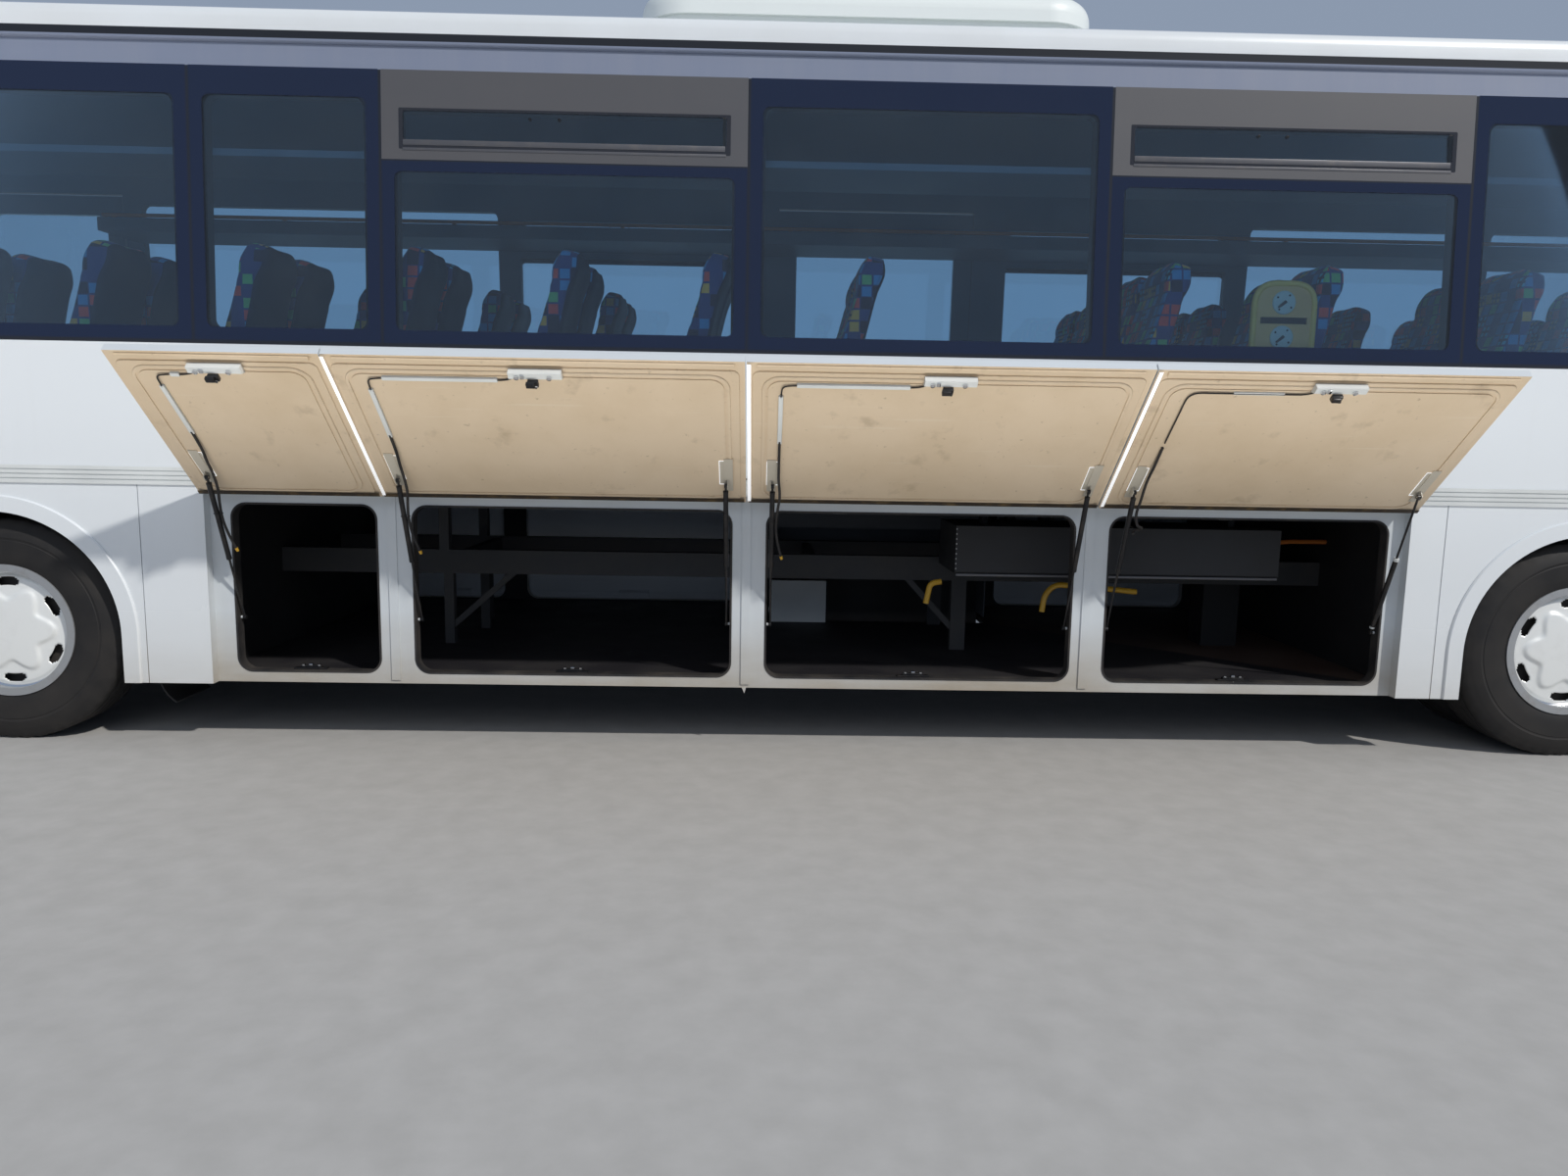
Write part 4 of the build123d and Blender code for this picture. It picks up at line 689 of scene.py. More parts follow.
class Maker:
    """Collects simple solids into one mesh and turns them into a piece that rides a body."""

    def __init__(self, name: str) -> None:
        """Starts an empty mesh.

        Args:
            name: Name of the piece.
        """
        self.name = name
        self.mesh = bmesh.new()

    def box(self, low: Sequence[float], high: Sequence[float], bevel: float = 0.0,
            segments: int = 2) -> "Maker":
        """Adds a box between two corners, its edges rounded.

        Args:
            low: One corner.
            high: The opposite corner.
            bevel: Width of the rounding.
            segments: Steps of the rounding.

        Returns:
            This maker.
        """
        size = [abs(b - a) for a, b in zip(low, high)]
        middle = [(a + b) / 2 for a, b in zip(low, high)]
        matrix = Matrix.Translation(middle) @ Matrix.Diagonal((*size, 1.0))
        made = bmesh.ops.create_cube(self.mesh, size=1.0, matrix=matrix)
        if bevel > 0:
            edges = dict.fromkeys(e for v in made["verts"] for e in v.link_edges)
            bmesh.ops.bevel(self.mesh, geom=list(edges), offset=bevel, segments=segments,
                            profile=0.6, affect="EDGES")
        return self

    def tube(self, path: Sequence[Sequence[float]], radius: object, sides: int = 12,
             closed: bool = False) -> "Maker":
        """Adds a round bar along a path.

        Args:
            path: Points of the centreline.
            radius: One radius, or one for each point.
            sides: Corners of the section.
            closed: Whether the path is a loop.

        Returns:
            This maker.
        """
        points = [Vector(p) for p in path]
        radii = list(radius) if isinstance(radius, (list, tuple)) else [radius] * len(points)
        rings = []
        side = None
        count = len(points)
        for i, point in enumerate(points):
            before = points[(i - 1) % count] if closed or i > 0 else point
            after = points[(i + 1) % count] if closed or i < count - 1 else point
            along = (after - before).normalized()
            if side is None:
                side = along.orthogonal().normalized()
            side = (side - along * side.dot(along)).normalized()
            other = along.cross(side)
            ring = []
            for k in range(sides):
                a = 2 * math.pi * k / sides
                ring.append(self.mesh.verts.new(
                    point + (side * math.cos(a) + other * math.sin(a)) * radii[i]))
            rings.append(ring)
        pairs = list(zip(rings[:-1], rings[1:]))
        if closed:
            pairs.append((rings[-1], rings[0]))
        for a, b in pairs:
            for k in range(sides):
                self.mesh.faces.new((a[k], a[(k + 1) % sides], b[(k + 1) % sides], b[k]))
        if not closed:
            self.mesh.faces.new(list(reversed(rings[0])))
            self.mesh.faces.new(rings[-1])
        return self

    def lathe(self, profile: Sequence[Pair], centre: Sequence[float],
              segments: int = 64, way: float = 1.0) -> "Maker":
        """Adds a body turned about a line along Y.

        Args:
            profile: (radius, offset along Y) points from one end to the other.
            centre: Point on the axis.
            segments: Steps around.
            way: Sign of the offsets.

        Returns:
            This maker.
        """
        rings = []
        for r, off in profile:
            if r < 1e-6:
                rings.append([self.mesh.verts.new((centre[0], centre[1] + way * off,
                                                   centre[2]))])
                continue
            ring = []
            for k in range(segments):
                a = 2 * math.pi * k / segments
                ring.append(self.mesh.verts.new((centre[0] + r * math.cos(a),
                                                 centre[1] + way * off,
                                                 centre[2] + r * math.sin(a))))
            rings.append(ring)
        for a, b in zip(rings[:-1], rings[1:]):
            for k in range(segments):
                n = (k + 1) % segments
                if len(a) == 1 and len(b) == 1:
                    continue
                if len(a) == 1:
                    face = (a[0], b[n], b[k])
                elif len(b) == 1:
                    face = (a[k], a[n], b[0])
                else:
                    face = (a[k], a[n], b[n], b[k])
                self.mesh.faces.new(face)
        return self

    def prism(self, outline: Sequence[Sequence[float]], offset: Sequence[float]) -> "Maker":
        """Adds a prism: an outline in space, pushed along an offset.

        Args:
            outline: Corners of the foot.
            offset: Way and length of the push.

        Returns:
            This maker.
        """
        base = [self.mesh.verts.new(p) for p in outline]
        top = [self.mesh.verts.new(Vector(p) + Vector(offset)) for p in outline]
        self.mesh.faces.new(base)
        self.mesh.faces.new(list(reversed(top)))
        for k in range(len(base)):
            n = (k + 1) % len(base)
            self.mesh.faces.new((base[n], base[k], top[k], top[n]))
        return self

    def transform(self, matrix: Matrix) -> "Maker":
        """Moves everything made so far."""
        bmesh.ops.transform(self.mesh, matrix=matrix, verts=self.mesh.verts)
        return self

    def done(self, finish: Finish, body: Optional[str] = "coach_body",
             smooth: float = 35.0) -> bpy.types.Object:
        """Ends the piece.

        Args:
            finish: Its finish.
            body: The body it rides; none leaves the piece unattached.
            smooth: Edges sharper than this angle in degrees stay sharp.

        Returns:
            The new object.
        """
        bmesh.ops.recalc_face_normals(self.mesh, faces=self.mesh.faces)
        data = bpy.data.meshes.new(self.name)
        self.mesh.to_mesh(data)
        self.mesh.free()
        for polygon in data.polygons:
            polygon.use_smooth = True
        data.set_sharp_from_angle(angle=math.radians(smooth))
        made = bpy.data.objects.new(self.name, data)
        bpy.context.scene.collection.objects.link(made)
        data.materials.append(finish.build())
        if body is not None:
            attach(made, body)
        return made


def bent(points: Sequence[Sequence[float]], radius: float, steps: int = 6) -> list[Vector]:
    """A path with its corners rounded.

    Args:
        points: Corners of the path.
        radius: Distance from each corner at which the bend starts.
        steps: Points in each bend.

    Returns:
        Points of the rounded path.
    """
    corners = [Vector(p) for p in points]
    path = [corners[0]]
    for before, corner, after in zip(corners[:-2], corners[1:-1], corners[2:]):
        reach = min(radius, (before - corner).length / 2.1, (after - corner).length / 2.1)
        a = corner + (before - corner).normalized() * reach
        b = corner + (after - corner).normalized() * reach
        for k in range(steps + 1):
            t = k / steps
            path.append(a * (1 - t) ** 2 + corner * 2 * t * (1 - t) + b * t ** 2)
    path.append(corners[-1])
    return path


Rule = tuple[Finish, Callable[[Vector, Vector], bool]]


def dress(node: str, base: Finish, rules: Iterable[Rule] = ()) -> None:
    """Gives a CAD node its finishes, face by face; the first rule that holds wins.

    Args:
        node: Name of the node.
        base: Finish of the faces that no rule takes.
        rules: Pairs of a finish and a test of a face's centre and normal.
    """
    data = frame["nodes"][node].data
    table = [base] + [rule[0] for rule in rules]
    data.materials.clear()
    for finish in table:
        data.materials.append(finish.build())
    for polygon in data.polygons:
        polygon.material_index = 0
        for index, rule in enumerate(rules):
            if rule[1](polygon.center, polygon.normal):
                polygon.material_index = index + 1
                break


@dataclass(frozen=True)
class Bay:
    """One luggage bay: its door's edges along X, its struts, and whether the rear one is turned."""

    name: str
    front: float
    rear: float
    front_strut: bool
    rear_strut: bool
    flipped: bool

    @property
    def middle(self) -> float:
        """X of the middle of the door."""
        return (self.front + self.rear) / 2

    @property
    def struts(self) -> list[tuple[float, bool]]:
        """X of each strut, and whether it is mounted the other way up."""
        found = [(self.front - FRONT_STRUT_IN, False)] if self.front_strut else []
        return found + ([(self.rear + REAR_STRUT_IN, self.flipped)] if self.rear_strut else [])


BAYS = (
    Bay("1", 2.940, 2.134, True, False, False),
    Bay("2", 2.134, 0.534, True, True, False),
    Bay("3", 0.534, -1.034, True, True, False),
    Bay("4", -1.034, -2.480, True, True, True),
)
SILL_Z = 0.333
TRUNK_OFF = {"1": 0.158, "2": 0.150, "3": 0.136, "4": 0.150}
SEAMS = (5.930, 4.546, 2.947, 2.131, 0.544, -1.037, -2.636, -4.235, -5.840)
HOPPERS = (3, 5)


@dataclass(frozen=True)
class SideSkin(Finish):
    """Outer skin of a side: white panels, grey header above the glass, dark between panes."""

    band: Colour = (0.205, 0.235, 0.320)
    gap: Colour = (0.010, 0.011, 0.016)
    glazed: Pair = (-5.84, 5.93)

    def wire(self, s: Shader) -> bpy.types.Material:
        """Wires the three zones, road dirt along the skirt and rain streaks.

        Args:
            s: Helper with the nodes.

        Returns:
            The material.
        """
        x, _, z = s.axes()
        haze = s.noise(1.3, 6.0, 0.6, (0.5, 1.0, 1.6))
        streak = s.noise(8.0, 5.0, 0.65, (1.0, 1.0, 0.05))
        low = s.math("POWER", s.ramp(z, 0.28, 0.75, 1.0, 0.0), 2.2)
        amount = s.math("MULTIPLY", low, s.ramp(haze, 0.25, 0.8, 0.15, 0.75))
        amount = s.math("ADD", amount, s.math("MULTIPLY", s.ramp(streak, 0.55, 0.8), 0.035))
        colour = s.mix(amount, self.colour, (0.36, 0.31, 0.24))
        windows = s.rect_mask(x, z, (*self.glazed, 1.80, 2.966), 0.001)
        header = s.rect_mask(x, z, (-6.5, 6.5, 2.9665, 3.2), 0.001)
        colour = s.mix(header, colour, s.mix(s.ramp(streak, 0.4, 0.8, 0.0, 0.4), self.band,
                                             (0.26, 0.28, 0.34)))
        colour = s.mix(windows, colour, self.gap)
        peel = s.noise(220.0, 2.0)
        rough = s.math("ADD", s.math("ADD", 0.26, s.math("MULTIPLY", amount, 0.5)),
                       s.math("MULTIPLY", header, 0.16))
        return s.surface(colour, rough, 0.0, s.bump(peel, 0.05, 0.0006), 0.45)


SIDE_SKIN = SideSkin("side_skin", (0.74, 0.77, 0.79))


@dataclass(frozen=True)
class RoofSkin(Finish):
    """White roof with the grey header's top and, at its edge, a black line of painted shadow under
    the overhang.
    """

    header: Colour = (0.205, 0.235, 0.320)
    overhang_shadow: Colour = (0.010, 0.011, 0.015)

    def wire(self, s: Shader) -> bpy.types.Material:
        """Wires the three zones and a faint haze.

        Args:
            s: Helper with the nodes.

        Returns:
            The material.
        """
        x, _, z = s.axes()
        haze = s.noise(2.2, 6.0, 0.6)
        colour = s.mix(s.ramp(haze, 0.35, 0.8, 0.0, 0.16), self.colour, (0.45, 0.43, 0.38))
        # Painted shadow: the black band from z 3.0 to 3.113 stands in for the shade under the
        # overhang.
        line = s.rect_mask(x, z, (-6.6, 6.5, 3.0, 3.113), 0.001)
        top = s.rect_mask(x, z, (-6.6, 6.5, 3.0, 3.081), 0.001)
        colour = s.mix(top, s.mix(line, colour, self.overhang_shadow), self.header)
        peel = s.noise(220.0, 2.0)
        return s.surface(colour, 0.34, 0.0, s.bump(peel, 0.05, 0.0006), 0.3)


ROOF_SKIN = RoofSkin("roof_skin", (0.74, 0.77, 0.79))


@dataclass
class Shell:
    """Body panels, glass and bumpers: the finish of every outer and inner face."""

    panel_y: float = 1.2745
    strip_y: float = 1.2755
    strip_z: Pair = (1.182, 1.263)
    lining_top: float = 1.19
    frame_top: float = 1.20
    reveal_low: float = 1.60
    lip: float = 0.062

    def side_rules(self, way: int) -> list[Rule]:
        """Rules for one side wall.

        Args:
            way: 1 on the left, -1 on the right.

        Returns:
            The rules in order.
        """
        def strip(c: Vector, n: Vector) -> bool:
            """The rub strip along the side."""
            return c.y * way > self.strip_y and self.strip_z[0] < c.z < self.strip_z[1]

        def inside(c: Vector, n: Vector) -> bool:
            """Faces that look into the cabin."""
            return n.y * way < -0.5 and c.z > self.lining_top

        def lining(c: Vector, n: Vector) -> bool:
            """Faces that look into the luggage space."""
            return n.y * way < -0.5 and c.z <= self.lining_top

        def frame_face(c: Vector, n: Vector) -> bool:
            """The frame set back behind the luggage doors."""
            return c.y * way < self.panel_y and c.z < self.frame_top

        def reveal(c: Vector, n: Vector) -> bool:
            """The edges behind the glass."""
            return c.y * way < lean_y(c.z, 0.009) and c.z > self.reveal_low

        # The set-back frame takes the shaded copy of the body white, which is painted shade.
        return [(STRIP_GREY, strip), (CABIN_GREY, inside), (LINING, lining),
                (SHADED_WHITE_EDGE, frame_face), (DARK_PLASTIC, reveal)]

    def glass_slots(self, way: int) -> list[tuple[Rect, TintedGlass]]:
        """The side's panes: the box each one fills, and its finish with the clear middle.

        Args:
            way: 1 on the left, -1 on the right.

        Returns:
            Box and finish of each pane.
        """
        slots = []
        for index, (front, rear) in enumerate(zip(SEAMS[:-1], SEAMS[1:])):
            bottom = 1.56 if index == 0 else BELT_Z
            hopper = index in HOPPERS
            top = 2.59 if hopper else 2.969
            clear = (rear + self.lip, front - self.lip, bottom + 0.058,
                     top - (0.045 if hopper else 0.120))
            name = f"glass_{'left' if way > 0 else 'right'}_{index}"
            slots.append(((rear, front, bottom - 0.01, top + 0.003),
                          TintedGlass(name, PRINT_NAVY, clear=clear)))
            if hopper:
                flap = (rear + 0.100, front - 0.100, 2.680, 2.800)
                slots.append(((rear, front, 2.60, 2.90),
                              TintedGlass(name + "_flap", (0.02, 0.02, 0.025), clear=flap,
                                          corner=0.01)))
        return slots

    def dress_glass(self) -> None:
        """Finishes the side glass pane by pane."""
        data = frame["nodes"]["side_windows"].data
        data.materials.clear()
        slots = []
        for way in (1, -1):
            for box, finish in self.glass_slots(way):
                slots.append((way, box, len(data.materials)))
                data.materials.append(finish.build())
        low_door = TintedGlass("glass_middle_door_low", PRINT_NAVY,
                               clear=(-0.765, 0.265, 0.575, 1.025), corner=0.05)
        high_door = TintedGlass("glass_middle_door_high", PRINT_NAVY,
                                clear=(-0.765, 0.265, 1.165, 2.765), corner=0.05)
        for box, finish in (((-0.875, 0.375, 0.5, 1.1), low_door),
                            ((-0.875, 0.375, 1.1, 2.9), high_door)):
            slots.insert(0, (-1, box, len(data.materials)))
            data.materials.append(finish.build())
        for polygon in data.polygons:
            c = polygon.center
            way = 1 if c.y > 0 else -1
            for side, box, index in slots:
                if (side == way and box[0] - 0.02 < c.x < box[1] + 0.02
                        and box[2] - 0.02 < c.z < box[3] + 0.02):
                    polygon.material_index = index
                    break

    def build(self) -> None:
        """Finishes walls, faces, roof, glass, bumpers and lamps."""
        for node, way in (("left_side_wall", 1), ("right_side_wall", -1)):
            dress(node, SIDE_SKIN, self.side_rules(way))
        self.dress_glass()
        dress("front_door_windows", TintedGlass(
            "glass_front_door", PRINT_NAVY, clear=(4.705, 5.445, 0.5, 2.80), corner=0.05))
        screen = TintedGlass("glass_windscreen", (0.01, 0.01, 0.012),
                             clear=(-1.10, 1.10, 1.33, 2.78), tint=(0.72, 0.80, 0.82),
                             across=True, corner=0.08)
        dress("windscreen", screen)
        dress("rear_window", TintedGlass("glass_rear", PRINT_NAVY,
                                         clear=(-0.84, 0.84, 2.01, 2.79), across=True,
                                         corner=0.08))
        inner = [(CABIN_GREY, lambda c, n: n.x < -0.3 and c.x < 6.54 and c.z > FLOOR_Z)]
        dress("front_face", WHITE, inner)
        dress("rear_face", WHITE, [(CABIN_GREY, lambda c, n: n.x > 0.3 and c.x > -6.54
                                    and c.z > FLOOR_Z)])
        dress("roof", ROOF_SKIN, [(CABIN_GREY, lambda c, n: n.z < -0.3 and abs(c.y) < 1.14)])
        dress("roof_cooler", COOLER_WHITE)
        dress("window_heads", HEAD_GREY)
        dress("left_bay_seals", SEAL_BLACK)
        dress("bumpers", WHITE)
        dress("engine_lid", WHITE)
        dress("lamps", LAMP_CLEAR, [
            (LAMP_RED, lambda c, n: c.x < 0 and (abs(c.y) < 0.945 or abs(c.y) > 1.075)),
            (LAMP_AMBER, lambda c, n: c.x < 0)])
        dress("mirrors", BLACK_GLOSS)
        for node in ("front_door", "middle_door"):
            dress(node, WHITE, [(CABIN_GREY, lambda c, n: n.y > 0.4)])
        dress("front_door_arms", STRUT_BLACK)
        for name in ("1", "2", "4"):
            dress("right_bay_door_" + name, WHITE, [(SHADE_WHITE, lambda c, n: n.y > 0.4)])
        log.info("shell dressed")


@dataclass
class BayInside:
    """Luggage space: floor boards, rails, fittings, striker plates, small lamps and handles."""

    striker_lift: float = 0.010
    plate_y: Pair = (1.168, 1.196)
    raised_y: Pair = (1.171, 1.191)
    pin_y: Pair = (1.173, 1.190)
    bolt_y: float = 1.181
    handle_radius: float = 0.015
    front_handle: tuple[Point, ...] = ((-0.385, 0.62, 0.604), (-0.405, 0.62, 0.709),
                                       (-0.461, 0.62, 0.718))
    rear_handle: tuple[Point, ...] = ((-0.988, 0.62, 0.569), (-0.998, 0.62, 0.657),
                                      (-1.050, 0.62, 0.712), (-1.310, 0.62, 0.694),
                                      (-1.474, 0.62, 0.679))
    pipe: tuple[Point, ...] = ((-2.06, 0.50, 0.90), (-2.30, 0.48, 0.94), (-2.539, 0.47, 0.94))
    pipe_radius: float = 0.012
    lamp_x: tuple[float, ...] = (1.42, 0.10, -1.72)

    def dress_nodes(self) -> None:
        """Finishes the floor, frame and fittings."""
        dress("bay_floor", BAY_FLOOR, [
            (MAT_BROWN, lambda c, n: n.z > 0.5 and c.x < -1.10),
            (LINING, lambda c, n: abs(n.x) > 0.5)])
        dress("chassis_frame", RAIL_GREY)
        dress("bay_fittings", LINING, [
            (DUCT_GREY, lambda c, n: c.z > 0.78),
            (STRIP_GREY, lambda c, n: c.x > 0.0)])
        dress("cabin_floor", CABIN_FLOOR, [(CHASSIS, lambda c, n: n.z < -0.5)])
        dress("engine", RUST_IRON)
        for node in ("front_axle", "rear_axle", "left_knuckle", "right_knuckle"):
            dress(node, RUST_IRON)
        dress("air_springs", SEAL_BLACK)
        dress("wheel_housings", LINING)

    def strikers(self) -> None:
        """Striker plate, two bolts and a bright pin on each sill."""
        for bay in BAYS:
            x = bay.middle
            z = SILL_Z + self.striker_lift
            plate = Maker(f"striker_plate_{bay.name}")
            plate.box((x - 0.075, self.plate_y[0], z - 0.001),
                      (x + 0.075, self.plate_y[1], z + 0.006), 0.002)
            plate.box((x - 0.050, self.raised_y[0], z + 0.006),
                      (x + 0.050, self.raised_y[1], z + 0.014), 0.004)
            plate.done(STRUT_BLACK)
            pin = Maker(f"striker_pin_{bay.name}")
            pin.box((x - 0.009, self.pin_y[0], z + 0.012),
                    (x + 0.009, self.pin_y[1], z + 0.024), 0.004)
            for way in (-1, 1):
                pin.tube([(x + way * 0.036, self.bolt_y, z + 0.012),
                          (x + way * 0.036, self.bolt_y, z + 0.020)], 0.009, 12)
            pin.done(ROD_STEEL)

    def tunnel(self) -> None:
        """Bright edge and studs of the duct, stair skirt, torn seal, handles, pipe and lamps."""
        edge = Maker("duct_edge")
        edge.box((-2.055, 0.448, 0.786), (-0.480, 0.460, 0.797), 0.002)
        edge.box((-2.055, 0.915, 0.786), (-0.480, 0.927, 0.797), 0.002)
        edge.done(BEAD_GREY)
        skirt = Maker("stair_skirt")
        skirt.box((-0.915, -0.712, 0.272), (0.415, -0.700, 0.676))
        skirt.done(LINING)
        tear = Maker("torn_seal")
        tear.prism([(0.548, 1.222, 0.288), (0.528, 1.222, 0.288), (0.536, 1.230, 0.262)],
                   (0, 0.003, 0))
        tear.done(SEAL_WHITE)
        studs = Maker("duct_studs")
        for k in range(9):
            z = 0.82 + k * 0.024
            studs.box((-0.4755, 0.925, z), (-0.4795, 0.9285, z + 0.005))
        studs.done(ALLOY)
        handles = Maker("yellow_grab_handles")
        handles.tube(bent(self.front_handle, 0.03), self.handle_radius, 10)
        handles.tube(bent(self.rear_handle, 0.05), self.handle_radius, 10)
        handles.done(YELLOW)
        pipe = Maker("orange_pipe")
        pipe.tube(bent(self.pipe, 0.05), self.pipe_radius, 10)
        pipe.done(ORANGE)
        lamps = Maker("bay_lamps")
        for x in self.lamp_x:
            lamps.box((x - 0.035, 1.02, 1.088), (x + 0.035, 1.07, 1.112), 0.004)
        lamps.done(STRIP_GREY)

    def build(self) -> None:
        """Finishes the nodes and adds the small parts."""
        self.dress_nodes()
        self.strikers()
        self.tunnel()
        log.info("luggage space built")


@dataclass
class BayDoors:
    """The four left luggage doors: skins, lock gear, trunking, struts' brackets and edges."""

    inner_y: float = 1.230
    free_z: float = 0.298
    cover_half: float = 0.1015
    cover_top: float = 0.40
    bracket_low: float = 0.80
    rim_y: float = 1.2425
    plate_z: Pair = (0.866, 1.020)
    plate_half: float = 0.026
    strip_z: Pair = (0.300, 1.140)
    leaf_z: Pair = (1.128, 1.150)
    wire_radius: float = 0.0032

    def closed(self, c: Vector) -> Vector:
        """Where a point of the open door lies when the door is shut."""
        return OPEN_MATRIX.inverted() @ c

    def dress_doors(self) -> None:
        """Cream inside, white outside, pale lock covers and brackets."""
        turn = OPEN_MATRIX.inverted().to_3x3()
        for bay in BAYS:
            struts = tuple(x for x, _ in bay.struts)

            def outer(c: Vector, n: Vector) -> bool:
                """The outer skin."""
                return (turn @ n).y > 0.5 or self.closed(c).y > 1.2745

            def cover(c: Vector, n: Vector, middle: float = bay.middle) -> bool:
                """The lock's cover."""
                p = self.closed(c)
                return (abs(p.x - middle) < self.cover_half and p.z < self.cover_top
                        and p.y < 1.2295)

            def bracket(c: Vector, n: Vector, spots: tuple[float, ...] = struts) -> bool:
                """The struts' brackets."""
                p = self.closed(c)
                return (p.y < 1.2285 and p.z > self.bracket_low
                        and any(abs(p.x - x) < 0.06 for x in spots))

            def rim(c: Vector, n: Vector) -> bool:
                """The door's narrow edges."""
                return abs((turn @ n).y) < 0.3 and self.closed(c).y > self.rim_y

            dress("left_bay_door_" + bay.name, CREAM, [
                (WHITE, outer), (STRIP_GREY, cover), (BRACKET_PALE, bracket),
                (SHADED_WHITE_EDGE, rim)])
            dress("left_strut_tops_" + bay.name, STRUT_BLACK)
            dress("left_strut_bottoms_" + bay.name, STRUT_BLACK)

    def place(self, maker: Maker) -> Maker:
        """Turns a piece made on the shut door into its open place."""
        return maker.transform(OPEN_MATRIX)

    def lock(self, bay: Bay) -> None:
        """Latch of one door's lock, which hangs below the cover, and plugs on the cover.

        Args:
            bay: The bay of the door.
        """
        body = "left_bay_door_" + bay.name
        x = bay.middle + 0.010
        y = self.inner_y - 0.024
        latch = Maker(f"lock_latch_{bay.name}")
        latch.box((x - 0.022, y - 0.016, 0.376), (x + 0.020, y + 0.002, 0.404), 0.004)
        latch.box((x - 0.010, y - 0.030, 0.374), (x + 0.024, y - 0.012, 0.396), 0.004)
        latch.tube([(x - 0.016, y - 0.018, 0.400), (x + 0.018, y - 0.024, 0.386),
                    (x + 0.020, y - 0.022, 0.380)], 0.006, 8)
        self.place(latch).done(STRUT_BLACK, body)
        plugs = Maker(f"lock_plugs_{bay.name}")
        for off in (-0.064, 0.060):
            plugs.lathe([(0.0, 0.0), (0.010, 0.0), (0.010, -0.007), (0.006, -0.009),
                         (0.0, -0.009)], (x + off, y, 0.366), 16)
        plugs.box((x + 0.030, y - 0.006, 0.352), (x + 0.046, y + 0.001, 0.372), 0.002)
        self.place(plugs).done(CHROME, body)

    def trunking(self, bay: Bay) -> None:
        """Cable trunking from the lock to the front edge and on towards the hinge.

        Args:
            bay: The bay of the door.
        """
        body = "left_bay_door_" + bay.name
        front = bay.front - TRUNK_OFF[bay.name]
        y = self.inner_y
        lay = Maker(f"lock_trunking_{bay.name}")
        start = bay.middle + 0.100
        high_z = self.free_z + 0.104
        if bay.name != "4":
            lay.box((start + 0.05, y - 0.011, high_z - 0.009),
                    (front - 0.06, y + 0.0005, high_z + 0.009), 0.003)
            lay.box((front - 0.009, y - 0.011, high_z + 0.06),
                    (front + 0.009, y + 0.0005, high_z + 0.34), 0.003)
            self.place(lay).done(STRIP_GREY, body)
        else:
            lay.box((start + 0.10, y - 0.008, high_z - 0.006),
                    (start + 0.30, y + 0.0005, high_z + 0.006), 0.002)
            self.place(lay).done(STRIP_GREY, body)
        wire = Maker(f"lock_wire_{bay.name}")
        run = bent([(start - 0.03, y - 0.006, 0.380), (start + 0.02, y - 0.006, high_z),
                    (front - 0.05, y - 0.006, high_z), (front - 0.004, y - 0.009, high_z + 0.004),
                    (front, y - 0.008, high_z + 0.07)], 0.04)
        if bay.name == "4":
            run = bent([(start - 0.03, y - 0.006, 0.380), (start + 0.02, y - 0.006, high_z),
                        (front, y - 0.006, high_z), (front, y - 0.006, 0.70)], 0.05)
        wire.tube(run, self.wire_radius, 8)
        self.place(wire).done(SEAL_BLACK, body)

    def edges(self, bay: Bay) -> None:
        """White strip on the front edge, grimy hinge leaf and rimmed strut plates; strip and rims
        carry a painted glow.

        Args:
            bay: The bay of the door.
        """
        body = "left_bay_door_" + bay.name
        y = self.inner_y
        if bay.name != "1":
            strip = Maker(f"edge_strip_{bay.name}")
            strip.box((bay.front - 0.019, y - 0.0009, self.strip_z[0]),
                      (bay.front - 0.004, y + 0.0008, self.strip_z[1]), 0.001)
            self.place(strip).done(PAINTED_GLOW_WHITE, body)
        leaf = Maker(f"hinge_leaf_{bay.name}")
        leaf.box((bay.rear + 0.010, y - 0.0008, self.leaf_z[0]),
                 (bay.front - 0.010, y + 0.0005, self.leaf_z[1]))
        self.place(leaf).done(HINGE_GRIME, body)
        plates, rims = Maker(f"strut_plates_{bay.name}"), Maker(f"strut_plate_rims_{bay.name}")
        for x, _ in bay.struts:
            low, high = self.plate_z
            left, right = x - self.plate_half, x + self.plate_half
            plates.box((left, y - 0.0016, low), (right, y + 0.0006, high))
            corners = [(left, y - 0.002, low), (right, y - 0.002, low),
                       (right, y - 0.002, high), (left, y - 0.002, high)]
            for a, b in zip(corners, corners[1:] + corners[:1]):
                rims.tube([a, b], 0.0017, 6)
        self.place(plates).done(BRACKET_PALE, body)
        # The plate rims carry the same painted glow.
        self.place(rims).done(PAINTED_GLOW_WHITE, body)

    def build(self) -> None:
        """Finishes and fits out all four doors."""
        self.dress_doors()
        for bay in BAYS:
            self.edges(bay)
            self.lock(bay)
            self.trunking(bay)
        log.info("luggage doors built")


